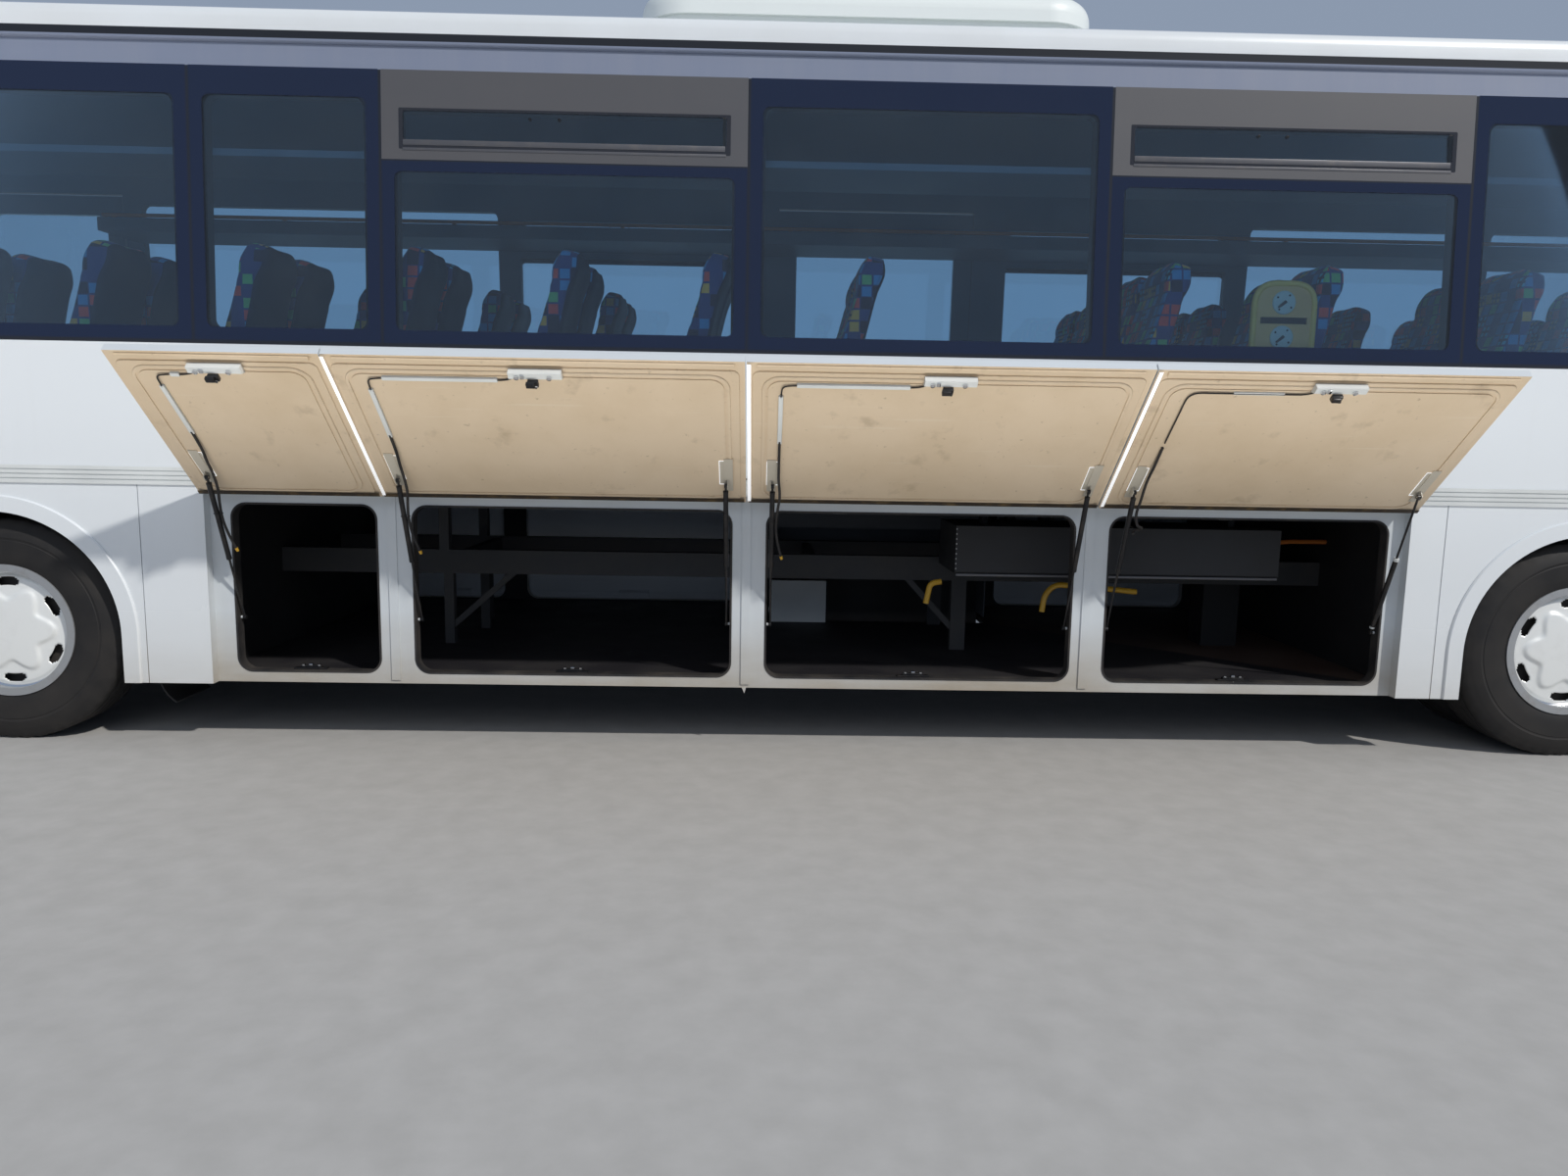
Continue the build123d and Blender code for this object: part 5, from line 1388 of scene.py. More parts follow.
@dataclass
class Tyres:
    """Tyres with ribs, shoulder notches and moulded side rings, in place of the plain ones."""

    radius: float = 0.510
    width: float = 0.285
    bead: float = 0.287
    grooves: tuple[float, ...] = (-0.074, -0.027, 0.027, 0.074)
    groove_depth: float = 0.011
    notch_depth: float = 0.006
    segments: int = 144

    def profile(self) -> list[tuple[float, float, bool]]:
        """Section from one bead over the tread to the other.

        Returns:
            Points as radius, offset along the axle, and whether the shoulder is notched there.
        """
        w = self.width / 2
        r = self.radius
        half = [(self.bead, w - 0.015, False), (self.bead + 0.012, w - 0.010, False),
                (self.bead + 0.020, w - 0.0075, False), (self.bead + 0.024, w - 0.0055, False),
                (self.bead + 0.060, w - 0.0015, False), (r - 0.140, w, False),
                (r - 0.100, w - 0.0005, False), (r - 0.097, w - 0.0025, False),
                (r - 0.090, w - 0.0025, False), (r - 0.086, w - 0.0005, False),
                (r - 0.055, w - 0.006, False), (r - 0.045, w - 0.011, False),
                (r - 0.030, w - 0.016, True), (r - 0.010, w - 0.026, True),
                (r - 0.003, w - 0.034, True), (r - 0.0015, w - 0.050, False)]
        ribs = []
        for at in self.grooves:
            crown = r - 0.0015 * (abs(at) / 0.1)
            floor = crown - self.groove_depth
            ribs += [(crown, at - 0.0065, False), (floor, at - 0.0045, False),
                     (floor, at + 0.0045, False), (crown, at + 0.0065, False)]
        return ([(a, -b, c) for a, b, c in half] + ribs
                + [(a, b, c) for a, b, c in reversed(half)])

    def make(self, name: str, spots: Sequence[Sequence[float]], body: str, node: str) -> None:
        """Builds the tyres of one wheel.

        Args:
            name: Name of the piece.
            spots: Centre of each tyre.
            body: Body of the wheel.
            node: Plain CAD tyre they stand for.
        """
        maker = Maker(name)
        rows = self.profile()
        for centre in spots:
            rings = []
            for r, off, notched in rows:
                ring = []
                for k in range(self.segments):
                    a = 2 * math.pi * k / self.segments
                    cut = self.notch_depth if notched and k % 3 == 0 else 0.0
                    ring.append(maker.mesh.verts.new((centre[0] + (r - cut) * math.cos(a),
                                                      centre[1] + off,
                                                      centre[2] + (r - cut) * math.sin(a))))
                rings.append(ring)
            rings.append(rings[0])
            for a, b in zip(rings[:-1], rings[1:]):
                for k in range(self.segments):
                    n = (k + 1) % self.segments
                    maker.mesh.faces.new((a[k], a[n], b[n], b[k]))
        made = maker.done(TYRE_BLACK, body, smooth=28.0)
        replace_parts(made, node)


@dataclass
class WheelCovers:
    """Silver covers with six lobes and slots, a bright ring and a dark back."""

    face: float = 0.118
    radius: float = 0.262
    lobes: int = 6
    lobe_edge: float = 0.172
    lobe_wave: float = 0.030
    slot_radius: float = 0.224
    slot_half: Pair = (0.020, 0.047)
    mark_radius: float = 0.2755
    rows: int = 46
    steps: int = 144

    def height(self, r: float, a: float) -> float:
        """How far the cover stands out at a radius and angle.

        Args:
            r: Distance from the axle.
            a: Angle about the axle.

        Returns:
            Height over the cover's foot.
        """
        edge = self.lobe_edge + self.lobe_wave * math.cos(self.lobes * a)
        plateau = 1 / (1 + math.exp((r - edge) / 0.0035))
        rim = 1 / (1 + math.exp((0.250 - r) / 0.002))
        dome = 0.012 * (1 - (r / self.radius) ** 2)
        return dome + 0.010 * plateau - 0.006 * rim

    def open_slot(self, r: float, a: float) -> bool:
        """Whether a slot passes through here.

        Args:
            r: Distance from the axle.
            a: Angle about the axle.

        Returns:
            True inside a slot.
        """
        turn = (a - math.pi / self.lobes) % (2 * math.pi / self.lobes)
        turn = min(turn, 2 * math.pi / self.lobes - turn)
        across = turn * r
        deep, wide = self.slot_half
        return (r - self.slot_radius) ** 2 / deep ** 2 + (across / wide) ** 4 < 1.0

    def make(self, name: str, centre: Sequence[float], way: int, body: str) -> None:
        """Builds cover, ring and dark back of one wheel.

        Args:
            name: Start of the pieces' names.
            centre: Middle of the tyre.
            way: Sign of the outer side.
            body: Body of the wheel.
        """
        cover = Maker(name + "_cover")
        radii = [0.0] + [self.radius * (k + 1) / self.rows for k in range(self.rows)]
        rings = []
        for r in radii:
            ring = []
            count = 1 if r == 0 else self.steps
            for k in range(count):
                a = 2 * math.pi * k / self.steps
                y = centre[1] + way * (self.face - 0.012 + self.height(r, a))
                ring.append(cover.mesh.verts.new((centre[0] + r * math.cos(a), y,
                                                  centre[2] + r * math.sin(a))))
            rings.append(ring)
        for i in range(1, len(rings)):
            a, b = rings[i - 1], rings[i]
            for k in range(self.steps):
                n = (k + 1) % self.steps
                middle = (radii[i - 1] + radii[i]) / 2
                if self.open_slot(middle, 2 * math.pi * (k + 0.5) / self.steps):
                    continue
                if len(a) == 1:
                    cover.mesh.faces.new((a[0], b[k], b[n]))
                else:
                    cover.mesh.faces.new((a[k], a[n], b[n], b[k]))
        made = cover.done(COVER_SILVER, body, smooth=50.0)
        thick = made.modifiers.new("thickness", "SOLIDIFY")
        thick.thickness = 0.004
        thick.offset = -1.0 if way > 0 else 1.0
        ring = Maker(name + "_ring")
        base = self.face - 0.016
        ring.lathe([(0.256, base - 0.004), (0.262, base + 0.005), (0.272, base + 0.009),
                    (0.282, base + 0.008), (0.288, base + 0.002), (0.286, base - 0.006)],
                   centre, 96, way)
        ring.done(CHROME, body)
        marks = Maker(name + "_ring_marks")
        for k in range(self.lobes * 2):
            a0 = 2 * math.pi * k / (self.lobes * 2) + 0.10
            for step in range(8):
                a = a0 + step * 0.040
                p = Vector((math.cos(a), 0, math.sin(a))) * self.mark_radius
                q = Vector((math.cos(a + 0.040), 0, math.sin(a + 0.040))) * self.mark_radius
                spot = Vector(centre) + Vector((0, way * (base + 0.0092), 0))
                marks.tube([spot + p, spot + q], 0.0022, 6)
        marks.done(SEAL_BLACK, body)
        back = Maker(name + "_back")
        back.lathe([(0.0, base - 0.030), (0.255, base - 0.030), (0.255, base - 0.034),
                    (0.0, base - 0.034)], centre, 48, way)
        back.done(SEAL_BLACK, body)


@dataclass
class Wheels:
    """All four wheels."""

    track: float = 1.090
    pitch: float = 0.330
    tyres: Tyres = field(default_factory=Tyres)
    covers: WheelCovers = field(default_factory=WheelCovers)

    def build(self) -> None:
        """Builds tyres and covers and finishes the rims."""
        for end, x, twin in (("front", FRONT_AXLE_X, False), ("rear", REAR_AXLE_X, True)):
            for side in Side:
                word = side.name.lower()
                body = f"{end}_{word}_wheel"
                plural = "s" if twin else ""
                ys = [self.track] + ([self.track - self.pitch] if twin else [])
                spots = [(x, side.value * y, HUB_Z) for y in ys]
                self.tyres.make(f"{end}_{word}_tyre_tread", spots, body,
                                f"{end}_{word}_tyre{plural}")
                self.covers.make(f"{end}_{word}_wheel", spots[0], side.value, body)
                dress(f"{end}_{word}_rim{plural}", RIM_SILVER)
        log.info("wheels built")


@dataclass
class Struts:
    """Collars on the tubes of the gas struts."""

    tube_length: float = 0.42347
    mouth_back: float = 0.028
    eye_collar: Pair = (0.026, 0.034)
    collar_radius: float = 0.0118

    def build(self) -> None:
        """Adds a collar near each tube's eye and one at its mouth."""
        pin = opened((0, *DOOR_PIN))
        start = Vector((pin.y, pin.z))
        end = Vector(FRAME_PIN)
        along = (end - start).normalized()
        for bay in BAYS:
            tops = Maker(f"strut_collars_top_{bay.name}")
            bottoms = Maker(f"strut_collars_bottom_{bay.name}")
            reach = self.tube_length - self.mouth_back
            for x, flipped in bay.struts:
                origin, way, maker = (end, -along, bottoms) if flipped else (start, along, tops)
                for a, b in (self.eye_collar, (reach - 0.012, reach + 0.002)):
                    p, q = origin + way * a, origin + way * b
                    maker.tube([(x, p.x, p.y), (x, q.x, q.y)], self.collar_radius, 20)
            if any(not f for _, f in bay.struts):
                tops.done(STRUT_BLACK, "left_strut_tops_" + bay.name)
            if any(f for _, f in bay.struts):
                bottoms.done(STRIP_GREY, "left_strut_bottoms_" + bay.name)
        log.info("struts fitted")


@dataclass
class Hoses:
    """Lock hoses of the left doors: from the trunking to the front strut, tied, tail loose."""

    radius: float = 0.0060
    reach: tuple[float, ...] = (0.050, 0.105, 0.171, 0.215, 0.255, 0.300, 0.345)
    drift: tuple[float, ...] = (0.034, 0.025, 0.0178, 0.0185, 0.0230, 0.0320, 0.0440)
    tie_at: float = 0.171

    def along_strut(self, s: float, x: float) -> Vector:
        """Point beside an open strut.

        Args:
            s: Distance below the pin on the door.
            x: Place along the coach.

        Returns:
            The point.
        """
        pin = opened((0, *DOOR_PIN))
        foot = Vector((0, *FRAME_PIN))
        p = pin + (foot - pin).normalized() * s
        return Vector((x, p.y, p.z))

    def smooth(self, points: Sequence[Vector]) -> list[Vector]:
        """The line of a smooth spline through a route's control points.

        Args:
            points: Control points.

        Returns:
            Points of the line.
        """
        curve = bpy.data.curves.new("hose_route", "CURVE")
        curve.dimensions = "3D"
        curve.resolution_u = 8
        spline = curve.splines.new("NURBS")
        spline.points.add(len(points) - 1)
        for target, p in zip(spline.points, points):
            target.co = (*p, 1.0)
        spline.order_u = 3
        spline.use_endpoint_u = True
        holder = bpy.data.objects.new("hose_route", curve)
        bpy.context.scene.collection.objects.link(holder)
        line = bpy.data.meshes.new_from_object(holder)
        path = [v.co.copy() for v in line.vertices]
        bpy.data.objects.remove(holder)
        bpy.data.meshes.remove(line)
        return path

    def route(self, bay: Bay) -> list[Vector]:
        """Control points of one door's hose.

        Args:
            bay: The bay of the door.

        Returns:
            The points in order.
        """
        x = bay.front - FRONT_STRUT_IN
        trunk = TRUNK_OFF[bay.name] - FRONT_STRUT_IN
        near = 0.6 * trunk + 0.4 * 0.026
        points = [opened((x - off, y, z)) for off, y, z in
                  ((trunk, 1.2235, 0.728), (trunk, 1.2215, 0.780), (trunk, 1.2165, 0.845),
                   (near, 1.2110, 0.905), (near, 1.2060, 0.960))]
        if bay.name == "4":
            points += [self.along_strut(s, x - d) for s, d in zip(self.reach[:2], self.drift[:2])]
            middle = self.along_strut(0.160, x - 0.044)
            for k in range(8):
                a = math.radians(60 + 45 * k)
                points.append(middle + Vector((0.019 * math.cos(a), 0.017 * math.sin(a),
                                               -0.0052 * k)))
        else:
            points += [self.along_strut(s, x - d) for s, d in zip(self.reach, self.drift)]
        return points

    def build(self) -> None:
        """Builds each door's hose and tie, and a yellow tip on all but the last."""
        for bay in BAYS:
            door, strut = "left_bay_door_" + bay.name, "left_strut_tops_" + bay.name
            points = self.route(bay)
            path = self.smooth(points)
            hose = Maker(f"lock_hose_{bay.name}").tube(path, self.radius, 10).done(SEAL_BLACK, None)
            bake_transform(hose)
            length = sum((b - a).length for a, b in zip(path[:-1], path[1:]))
            if bay.name != "4":
                end, way = path[-1], (path[-1] - path[-3]).normalized()
                tip = Maker(f"lock_hose_tip_{bay.name}")
                tip.tube([end - way * 0.004, end + way * 0.002, end + way * 0.012],
                         [0.0072, 0.0072, 0.0060], 12)
                tip.done(YELLOW, strut)
            tuple(path[0])
            [tuple(p) for p in path]
            x = bay.front - FRONT_STRUT_IN
            tie = Maker(f"hose_tie_{bay.name}")
            spot = self.along_strut(self.tie_at, 0)
            along = (self.along_strut(0.3, 0) - spot).normalized()
            across = Vector((0, -along.z, along.y))
            ring = []
            for k in range(20):
                a = 2 * math.pi * k / 20
                ring.append(Vector((x - 0.0064, spot.y, spot.z))
                            + Vector((1, 0, 0)) * math.cos(a) * 0.0192
                            + across * math.sin(a) * 0.0126)
            tie.tube(ring, 0.0016, 6, closed=True)
            tie.done(SEAL_BLACK, strut)
        log.info("lock hoses built")


@dataclass
class SeatForms:
    """Seats: crowned, sewn pads with high backs, simulated once and set in every row."""

    seat_width: float = 0.440
    aisle: float = 0.270
    cushion_top: float = 1.630
    back_top: float = 2.275
    rows_left: tuple[float, ...] = (4.050, 3.400, 2.714, 2.003, 1.324, 0.651, -0.052, -1.447,
                                    -2.147, -3.074, -3.780, -4.480, -5.180)
    rows_right: tuple[float, ...] = (3.400, 2.714, 2.003, 1.324, -1.540, -2.220, -3.074, -3.780,
                                     -4.480, -5.180)
    driver_x: float = 4.560
    driver_y: float = 0.600
    back_size: Point = (0.090, 0.420, 0.645)
    cushion_size: Point = (0.470, 0.420, 0.096)
    pressure: float = 4.0
    push: float = 0.012
    frames: int = 20

    def grid(self, name: str, size: Point, counts: tuple[int, int, int]) -> bpy.types.Object:
        """A closed block of even quads, from -half to +half along each axis.

        Args:
            name: Name of the object.
            size: Length along each axis.
            counts: Quads along each axis.

        Returns:
            The object, linked to the scene.
        """
        mesh = bmesh.new()
        seen: dict[tuple[int, int, int], bmesh.types.BMVert] = {}

        def vert(i: int, j: int, k: int) -> bmesh.types.BMVert:
            """The vertex at a grid place, made once.

            Args:
                i: Step along X.
                j: Step along Y.
                k: Step along Z.

            Returns:
                The vertex.
            """
            key = (i, j, k)
            if key not in seen:
                seen[key] = mesh.verts.new([size[a] * (key[a] / counts[a] - 0.5)
                                            for a in range(3)])
            return seen[key]

        for axis in range(3):
            u, v = [a for a in range(3) if a != axis]
            for end in (0, counts[axis]):
                for i in range(counts[u]):
                    for j in range(counts[v]):
                        corner = []
                        for di, dj in ((0, 0), (1, 0), (1, 1), (0, 1)):
                            key = [0, 0, 0]
                            key[axis], key[u], key[v] = end, i + di, j + dj
                            corner.append(vert(*key))
                        mesh.faces.new(corner)
        bmesh.ops.recalc_face_normals(mesh, faces=mesh.faces)
        data = bpy.data.meshes.new(name)
        mesh.to_mesh(data)
        mesh.free()
        made = bpy.data.objects.new(name, data)
        bpy.context.scene.collection.objects.link(made)
        return made

    def shape_back(self, p: Vector) -> Vector:
        """Outline and bolsters of a back: X thickness, Y across, Z up along the back.

        Args:
            p: Point of the even block.

        Returns:
            Where the point goes.
        """
        v = p.z / self.back_size[2] + 0.5
        u = abs(p.y) / (self.back_size[1] / 2)
        width = 1.0 - 0.13 * max(0.0, (v - 0.72) / 0.28) ** 1.5
        drop = 0.030 * max(0.0, u - 0.55) ** 2 / 0.2 * max(0.0, (v - 0.75) / 0.25)
        thick = 0.86 + 0.34 * math.exp(-((v - 0.88) / 0.10) ** 2) - 0.16 * v
        bolster = 0.016 * max(0.0, (u - 0.62) / 0.38) ** 2 * (1 - v * 0.6)
        lumbar = 0.012 * math.exp(-((v - 0.28) / 0.16) ** 2)
        front = p.x > 0
        x = p.x * thick + ((bolster + lumbar) if front else 0.0)
        return Vector((x, p.y * width, p.z - drop))

    def shape_cushion(self, p: Vector) -> Vector:
        """Outline of a cushion: X forward, Y across, Z up; rolled front edge.

        Args:
            p: Point of the even block.

        Returns:
            Where the point goes.
        """
        f = p.x / self.cushion_size[0] + 0.5
        u = abs(p.y) / (self.cushion_size[1] / 2)
        fall = 0.020 * max(0.0, (f - 0.78) / 0.22) ** 2
        side = 0.010 * max(0.0, (u - 0.6) / 0.4) ** 2
        z = p.z - (fall if p.z > 0 else -fall * 0.6) + (side if p.z > 0 else 0.0)
        return Vector((p.x, p.y, z))

    def puff(self, pad: bpy.types.Object, cap: float) -> None:
        """Blows a pad up by cloth simulation and limits how far any point may move.

        Args:
            pad: The pad.
            cap: Farthest move of a point.
        """
        start = [v.co.copy() for v in pad.data.vertices]
        cloth = pad.modifiers.new("pad", "CLOTH")
        cloth.settings.use_pressure = True
        cloth.settings.uniform_pressure_force = self.pressure
        cloth.settings.effector_weights.gravity = 0.0
        cloth.settings.quality = 6
        cloth.point_cache.frame_start = 1
        cloth.point_cache.frame_end = self.frames
        scene = bpy.context.scene
        for step in range(1, self.frames + 1):
            scene.frame_set(step)
        graph = bpy.context.evaluated_depsgraph_get()
        shaped = bpy.data.meshes.new_from_object(pad.evaluated_get(graph))
        moved = [v.co.copy() for v in shaped.vertices]
        pad.modifiers.remove(cloth)
        for vertex, a, b in zip(pad.data.vertices, start, moved):
            shift = b - a
            if shift.length > cap:
                shift = shift.normalized() * cap
            vertex.co = a + shift
        bpy.data.meshes.remove(shaped)
        scene.frame_set(1)

    def seams(self, pad: bpy.types.Object, lines: Callable[[Vector], float]) -> None:
        """Presses sewn channels into a pad.

        Args:
            pad: The pad.
            lines: Depth of a channel at a point.
        """
        data = pad.data
        normals = [v.normal.copy() for v in data.vertices]
        for vertex, normal in zip(data.vertices, normals):
            vertex.co = vertex.co - normal * lines(vertex.co)

    def make_pads(self) -> tuple[bpy.types.Object, bpy.types.Object]:
        """Makes one back and one cushion.

        Returns:
            The back and the cushion.
        """
        back = self.grid("pad_back", self.back_size, (4, 16, 24))
        cushion = self.grid("pad_cushion", self.cushion_size, (18, 16, 4))
        for pad, shape in ((back, self.shape_back), (cushion, self.shape_cushion)):
            for vertex in pad.data.vertices:
                vertex.co = shape(vertex.co)
            relax = pad.modifiers.new("relax", "SMOOTH")
            relax.iterations = 2
            relax.factor = 0.5
            graph = bpy.context.evaluated_depsgraph_get()
            eased = bpy.data.meshes.new_from_object(pad.evaluated_get(graph))
            pad.modifiers.clear()
            pad.data = eased
            self.puff(pad, self.push)
        self.seams(back, lambda p: 0.0045 * math.exp(-((p.z - 0.165) / 0.010) ** 2)
                   + 0.0035 * math.exp(-((p.z + 0.165) / 0.010) ** 2)
                   if p.x > 0 else 0.0)
        self.seams(cushion, lambda p: 0.004 * math.exp(-((p.x - 0.13) / 0.010) ** 2)
                   if p.z > 0 else 0.0)
        return back, cushion

    def place(self, x: float, y: float, lift: float = 0.0) -> tuple[Matrix, Matrix]:
        """Matrices that put a back and a cushion at one seat.

        Args:
            x: Place of the seat along the coach.
            y: Middle of the seat across it.
            lift: Extra height.

        Returns:
            One matrix for the back, one for the cushion.
        """
        low = Vector((x + 0.173, y, self.cushion_top + 0.004))
        high = Vector((x + 0.010, y, self.back_top))
        up = (high - low).normalized()
        across = Vector((0, 1, 0))
        fore = across.cross(up).normalized()
        back = Matrix((fore, across, up)).transposed().to_4x4()
        back.translation = (low + high) / 2 + Vector((0, 0, lift))
        cushion = Matrix.Translation((x + 0.368, y, self.cushion_top - 0.055 + lift))
        return back, cushion

    def gather(self, name: str, pad: bpy.types.Object, spots: Sequence[Matrix],
               front: Callable[[Vector], bool]) -> bpy.types.Object:
        """Sets copies of a pad at every spot as one piece, patterned where front says so.

        Args:
            name: Name of the piece.
            pad: The pad.
            spots: One matrix for each copy.
            front: Whether a face with this normal is patterned.

        Returns:
            The piece.
        """
        verts, faces, kinds = [], [], []
        for matrix in spots:
            base = len(verts)
            verts += [matrix @ v.co for v in pad.data.vertices]
            for polygon in pad.data.polygons:
                faces.append([base + i for i in polygon.vertices])
                kinds.append(0 if front(polygon.normal) else 1)
        data = bpy.data.meshes.new(name)
        data.from_pydata(verts, [], faces)
        data.materials.append(CLOTH.build())
        data.materials.append(PLAIN_CLOTH.build())
        for polygon, kind in zip(data.polygons, kinds):
            polygon.material_index = kind
            polygon.use_smooth = True
        made = bpy.data.objects.new(name, data)
        bpy.context.scene.collection.objects.link(made)
        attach(made, "coach_body")
        return made

    def build(self) -> None:
        """Builds every seat."""
        seats: list[tuple[float, float, int]] = []
        for rows, way in ((self.rows_left, 1), (self.rows_right, -1)):
            for x in rows:
                for place in range(2):
                    y = way * (self.aisle + place * (self.seat_width + 0.010)
                               + self.seat_width / 2)
                    seats.append((x, y, way))
        back, cushion = self.make_pads()
        spots = [self.place(x, y) for x, y, _ in seats]
        spots.append(self.place(self.driver_x, self.driver_y))
        backs = self.gather("seat_back_pads", back, [a for a, _ in spots], lambda n: n.x > -0.4)
        bases = self.gather("seat_base_pads", cushion, [b for _, b in spots],
                            lambda n: n.z > -0.3)
        for pad in (back, cushion):
            bpy.data.objects.remove(pad)
        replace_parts(backs, "seat_cushions")
        dress("seat_frames", SEAT_REAR)
        log.info("%d seats built", len(spots))


@dataclass
class Cabin:
    """Inside of the cabin: racks and rails, stowed backrest, dashboard and wheel."""

    rest_x: Pair = (-1.727, -1.998)
    rest_z: Pair = (1.580, 2.158)
    rest_y: float = 1.190
    disc_x: float = -1.857
    disc_z: Pair = (2.074, 1.921)
    rail_run: Pair = (-5.86, 4.47)
    rail_y: float = 0.722
    rail_z: float = 2.703
    rail_posts: int = 11
    dial_y: Pair = (0.52, 0.68)
    dial_z: float = 1.688
    switches: int = 8

    def backrest(self) -> None:
        """Yellow loop, beige board with a slot, and two round clamps with levers."""
        front, rear = self.rest_x
        low, high = self.rest_z
        loop = Maker("backrest_loop")
        loop.tube(bent([(front, self.rest_y, low), (front, self.rest_y, high),
                        (rear, self.rest_y, high), (rear, self.rest_y, low)], 0.10, 10),
                  0.0140, 16)
        loop.tube([(front, self.rest_y, low + 0.03), (rear, self.rest_y, low + 0.03)], 0.012, 12)
        for x in self.rest_x:
            for z in (low + 0.05, low + 0.17):
                loop.tube([(x, self.rest_y, z), (x, self.rest_y + 0.030, z)], 0.010, 10)
        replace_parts(loop.done(LOOP_YELLOW, "coach_body"), "wheelchair_backrest")
        board = Maker("backrest_board")
        for a, b in (((rear + 0.005, low + 0.02), (front - 0.005, 1.981)),
                     ((rear + 0.005, 2.010), (front - 0.005, high - 0.070)),
                     ((rear + 0.055, high - 0.071), (front - 0.055, high - 0.004)),
                     ((rear + 0.005, 1.980), (rear + 0.030, 2.011)),
                     ((front - 0.030, 1.980), (front - 0.005, 2.011))):
            board.box((a[0], self.rest_y - 0.007, a[1]), (b[0], self.rest_y + 0.005, b[1]))
        for x, way in ((rear + 0.055, 1), (front - 0.055, -1)):
            board.prism([(x, self.rest_y - 0.007, high - 0.072),
                         (x - way * 0.050, self.rest_y - 0.007, high - 0.072),
                         (x - way * 0.036, self.rest_y - 0.007, high - 0.030),
                         (x, self.rest_y - 0.007, high - 0.008)], (0, 0.012, 0))
        board.done(REST_BEIGE)
        slot = Maker("backrest_slot")
        slot.box((rear + 0.028, self.rest_y - 0.004, 1.978),
                 (front - 0.028, self.rest_y - 0.002, 2.013))
        slot.done(SEAL_BLACK)
        discs, levers = Maker("backrest_discs"), Maker("backrest_levers")
        for z in self.disc_z:
            x, y = self.disc_x, self.rest_y + 0.005
            discs.lathe([(0.0, 0.0), (0.052, 0.0), (0.052, 0.004), (0.048, 0.007),
                         (0.0, 0.007)], (x, y, z), 40)
            for k in range(4):
                a = math.radians(35 + 90 * k)
                levers.lathe([(0.0, 0.0), (0.0045, 0.0), (0.0045, 0.002), (0.0, 0.002)],
                             (x + 0.038 * math.cos(a), y + 0.007, z + 0.038 * math.sin(a)), 10)
            levers.tube([(x - 0.006, y + 0.010, z + 0.004), (x + 0.026, y + 0.011, z - 0.022)],
                        [0.0075, 0.0045], 10)
        discs.done(PALE_BLUE)
        levers.done(DARK_PLASTIC)

    def racks(self) -> None:
        """Orange rails along the racks' edges."""
        dress("luggage_racks", CABIN_GREY)
        rails = Maker("rack_rails")
        for side in Side:
            y = side.value * self.rail_y
            rails.tube([(x, y, self.rail_z) for x in self.rail_run], 0.011, 12)
            for k in range(self.rail_posts):
                x = -5.80 + k * 1.02
                rails.box((x - 0.012, y - 0.008, 2.688), (x + 0.012, y + 0.008, 2.704))
        rails.done(ORANGE)

    def dashboard(self) -> None:
        """Binnacle with two dials and a row of switches."""
        dress("dashboard", DARK_PLASTIC)
        dress("steering_wheel", DARK_PLASTIC)
        hood = Maker("dial_binnacle")
        hood.box((5.66, 0.38, 1.630), (5.80, 0.82, 1.742), 0.020, 3)
        hood.done(DARK_PLASTIC)
        dials, rings = Maker("dials"), Maker("dial_rings")
        for y in self.dial_y:
            dials.tube([(5.661, y, self.dial_z), (5.656, y, self.dial_z)], 0.042, 32)
            ring = [(5.657, y + 0.043 * math.cos(a), self.dial_z + 0.043 * math.sin(a))
                    for a in (2 * math.pi * k / 32 for k in range(32))]
            rings.tube(ring, 0.0026, 8, closed=True)
        for k in range(self.switches):
            rings.box((5.655, 0.45 + k * 0.040, 1.636), (5.661, 0.47 + k * 0.040, 1.642), 0.001)
        dials.done(BLACK_GLOSS)
        rings.done(ALLOY)

    def build(self) -> None:
        """Fits out the cabin."""
        self.racks()
        self.backrest()
        self.dashboard()
        log.info("cabin fitted out")


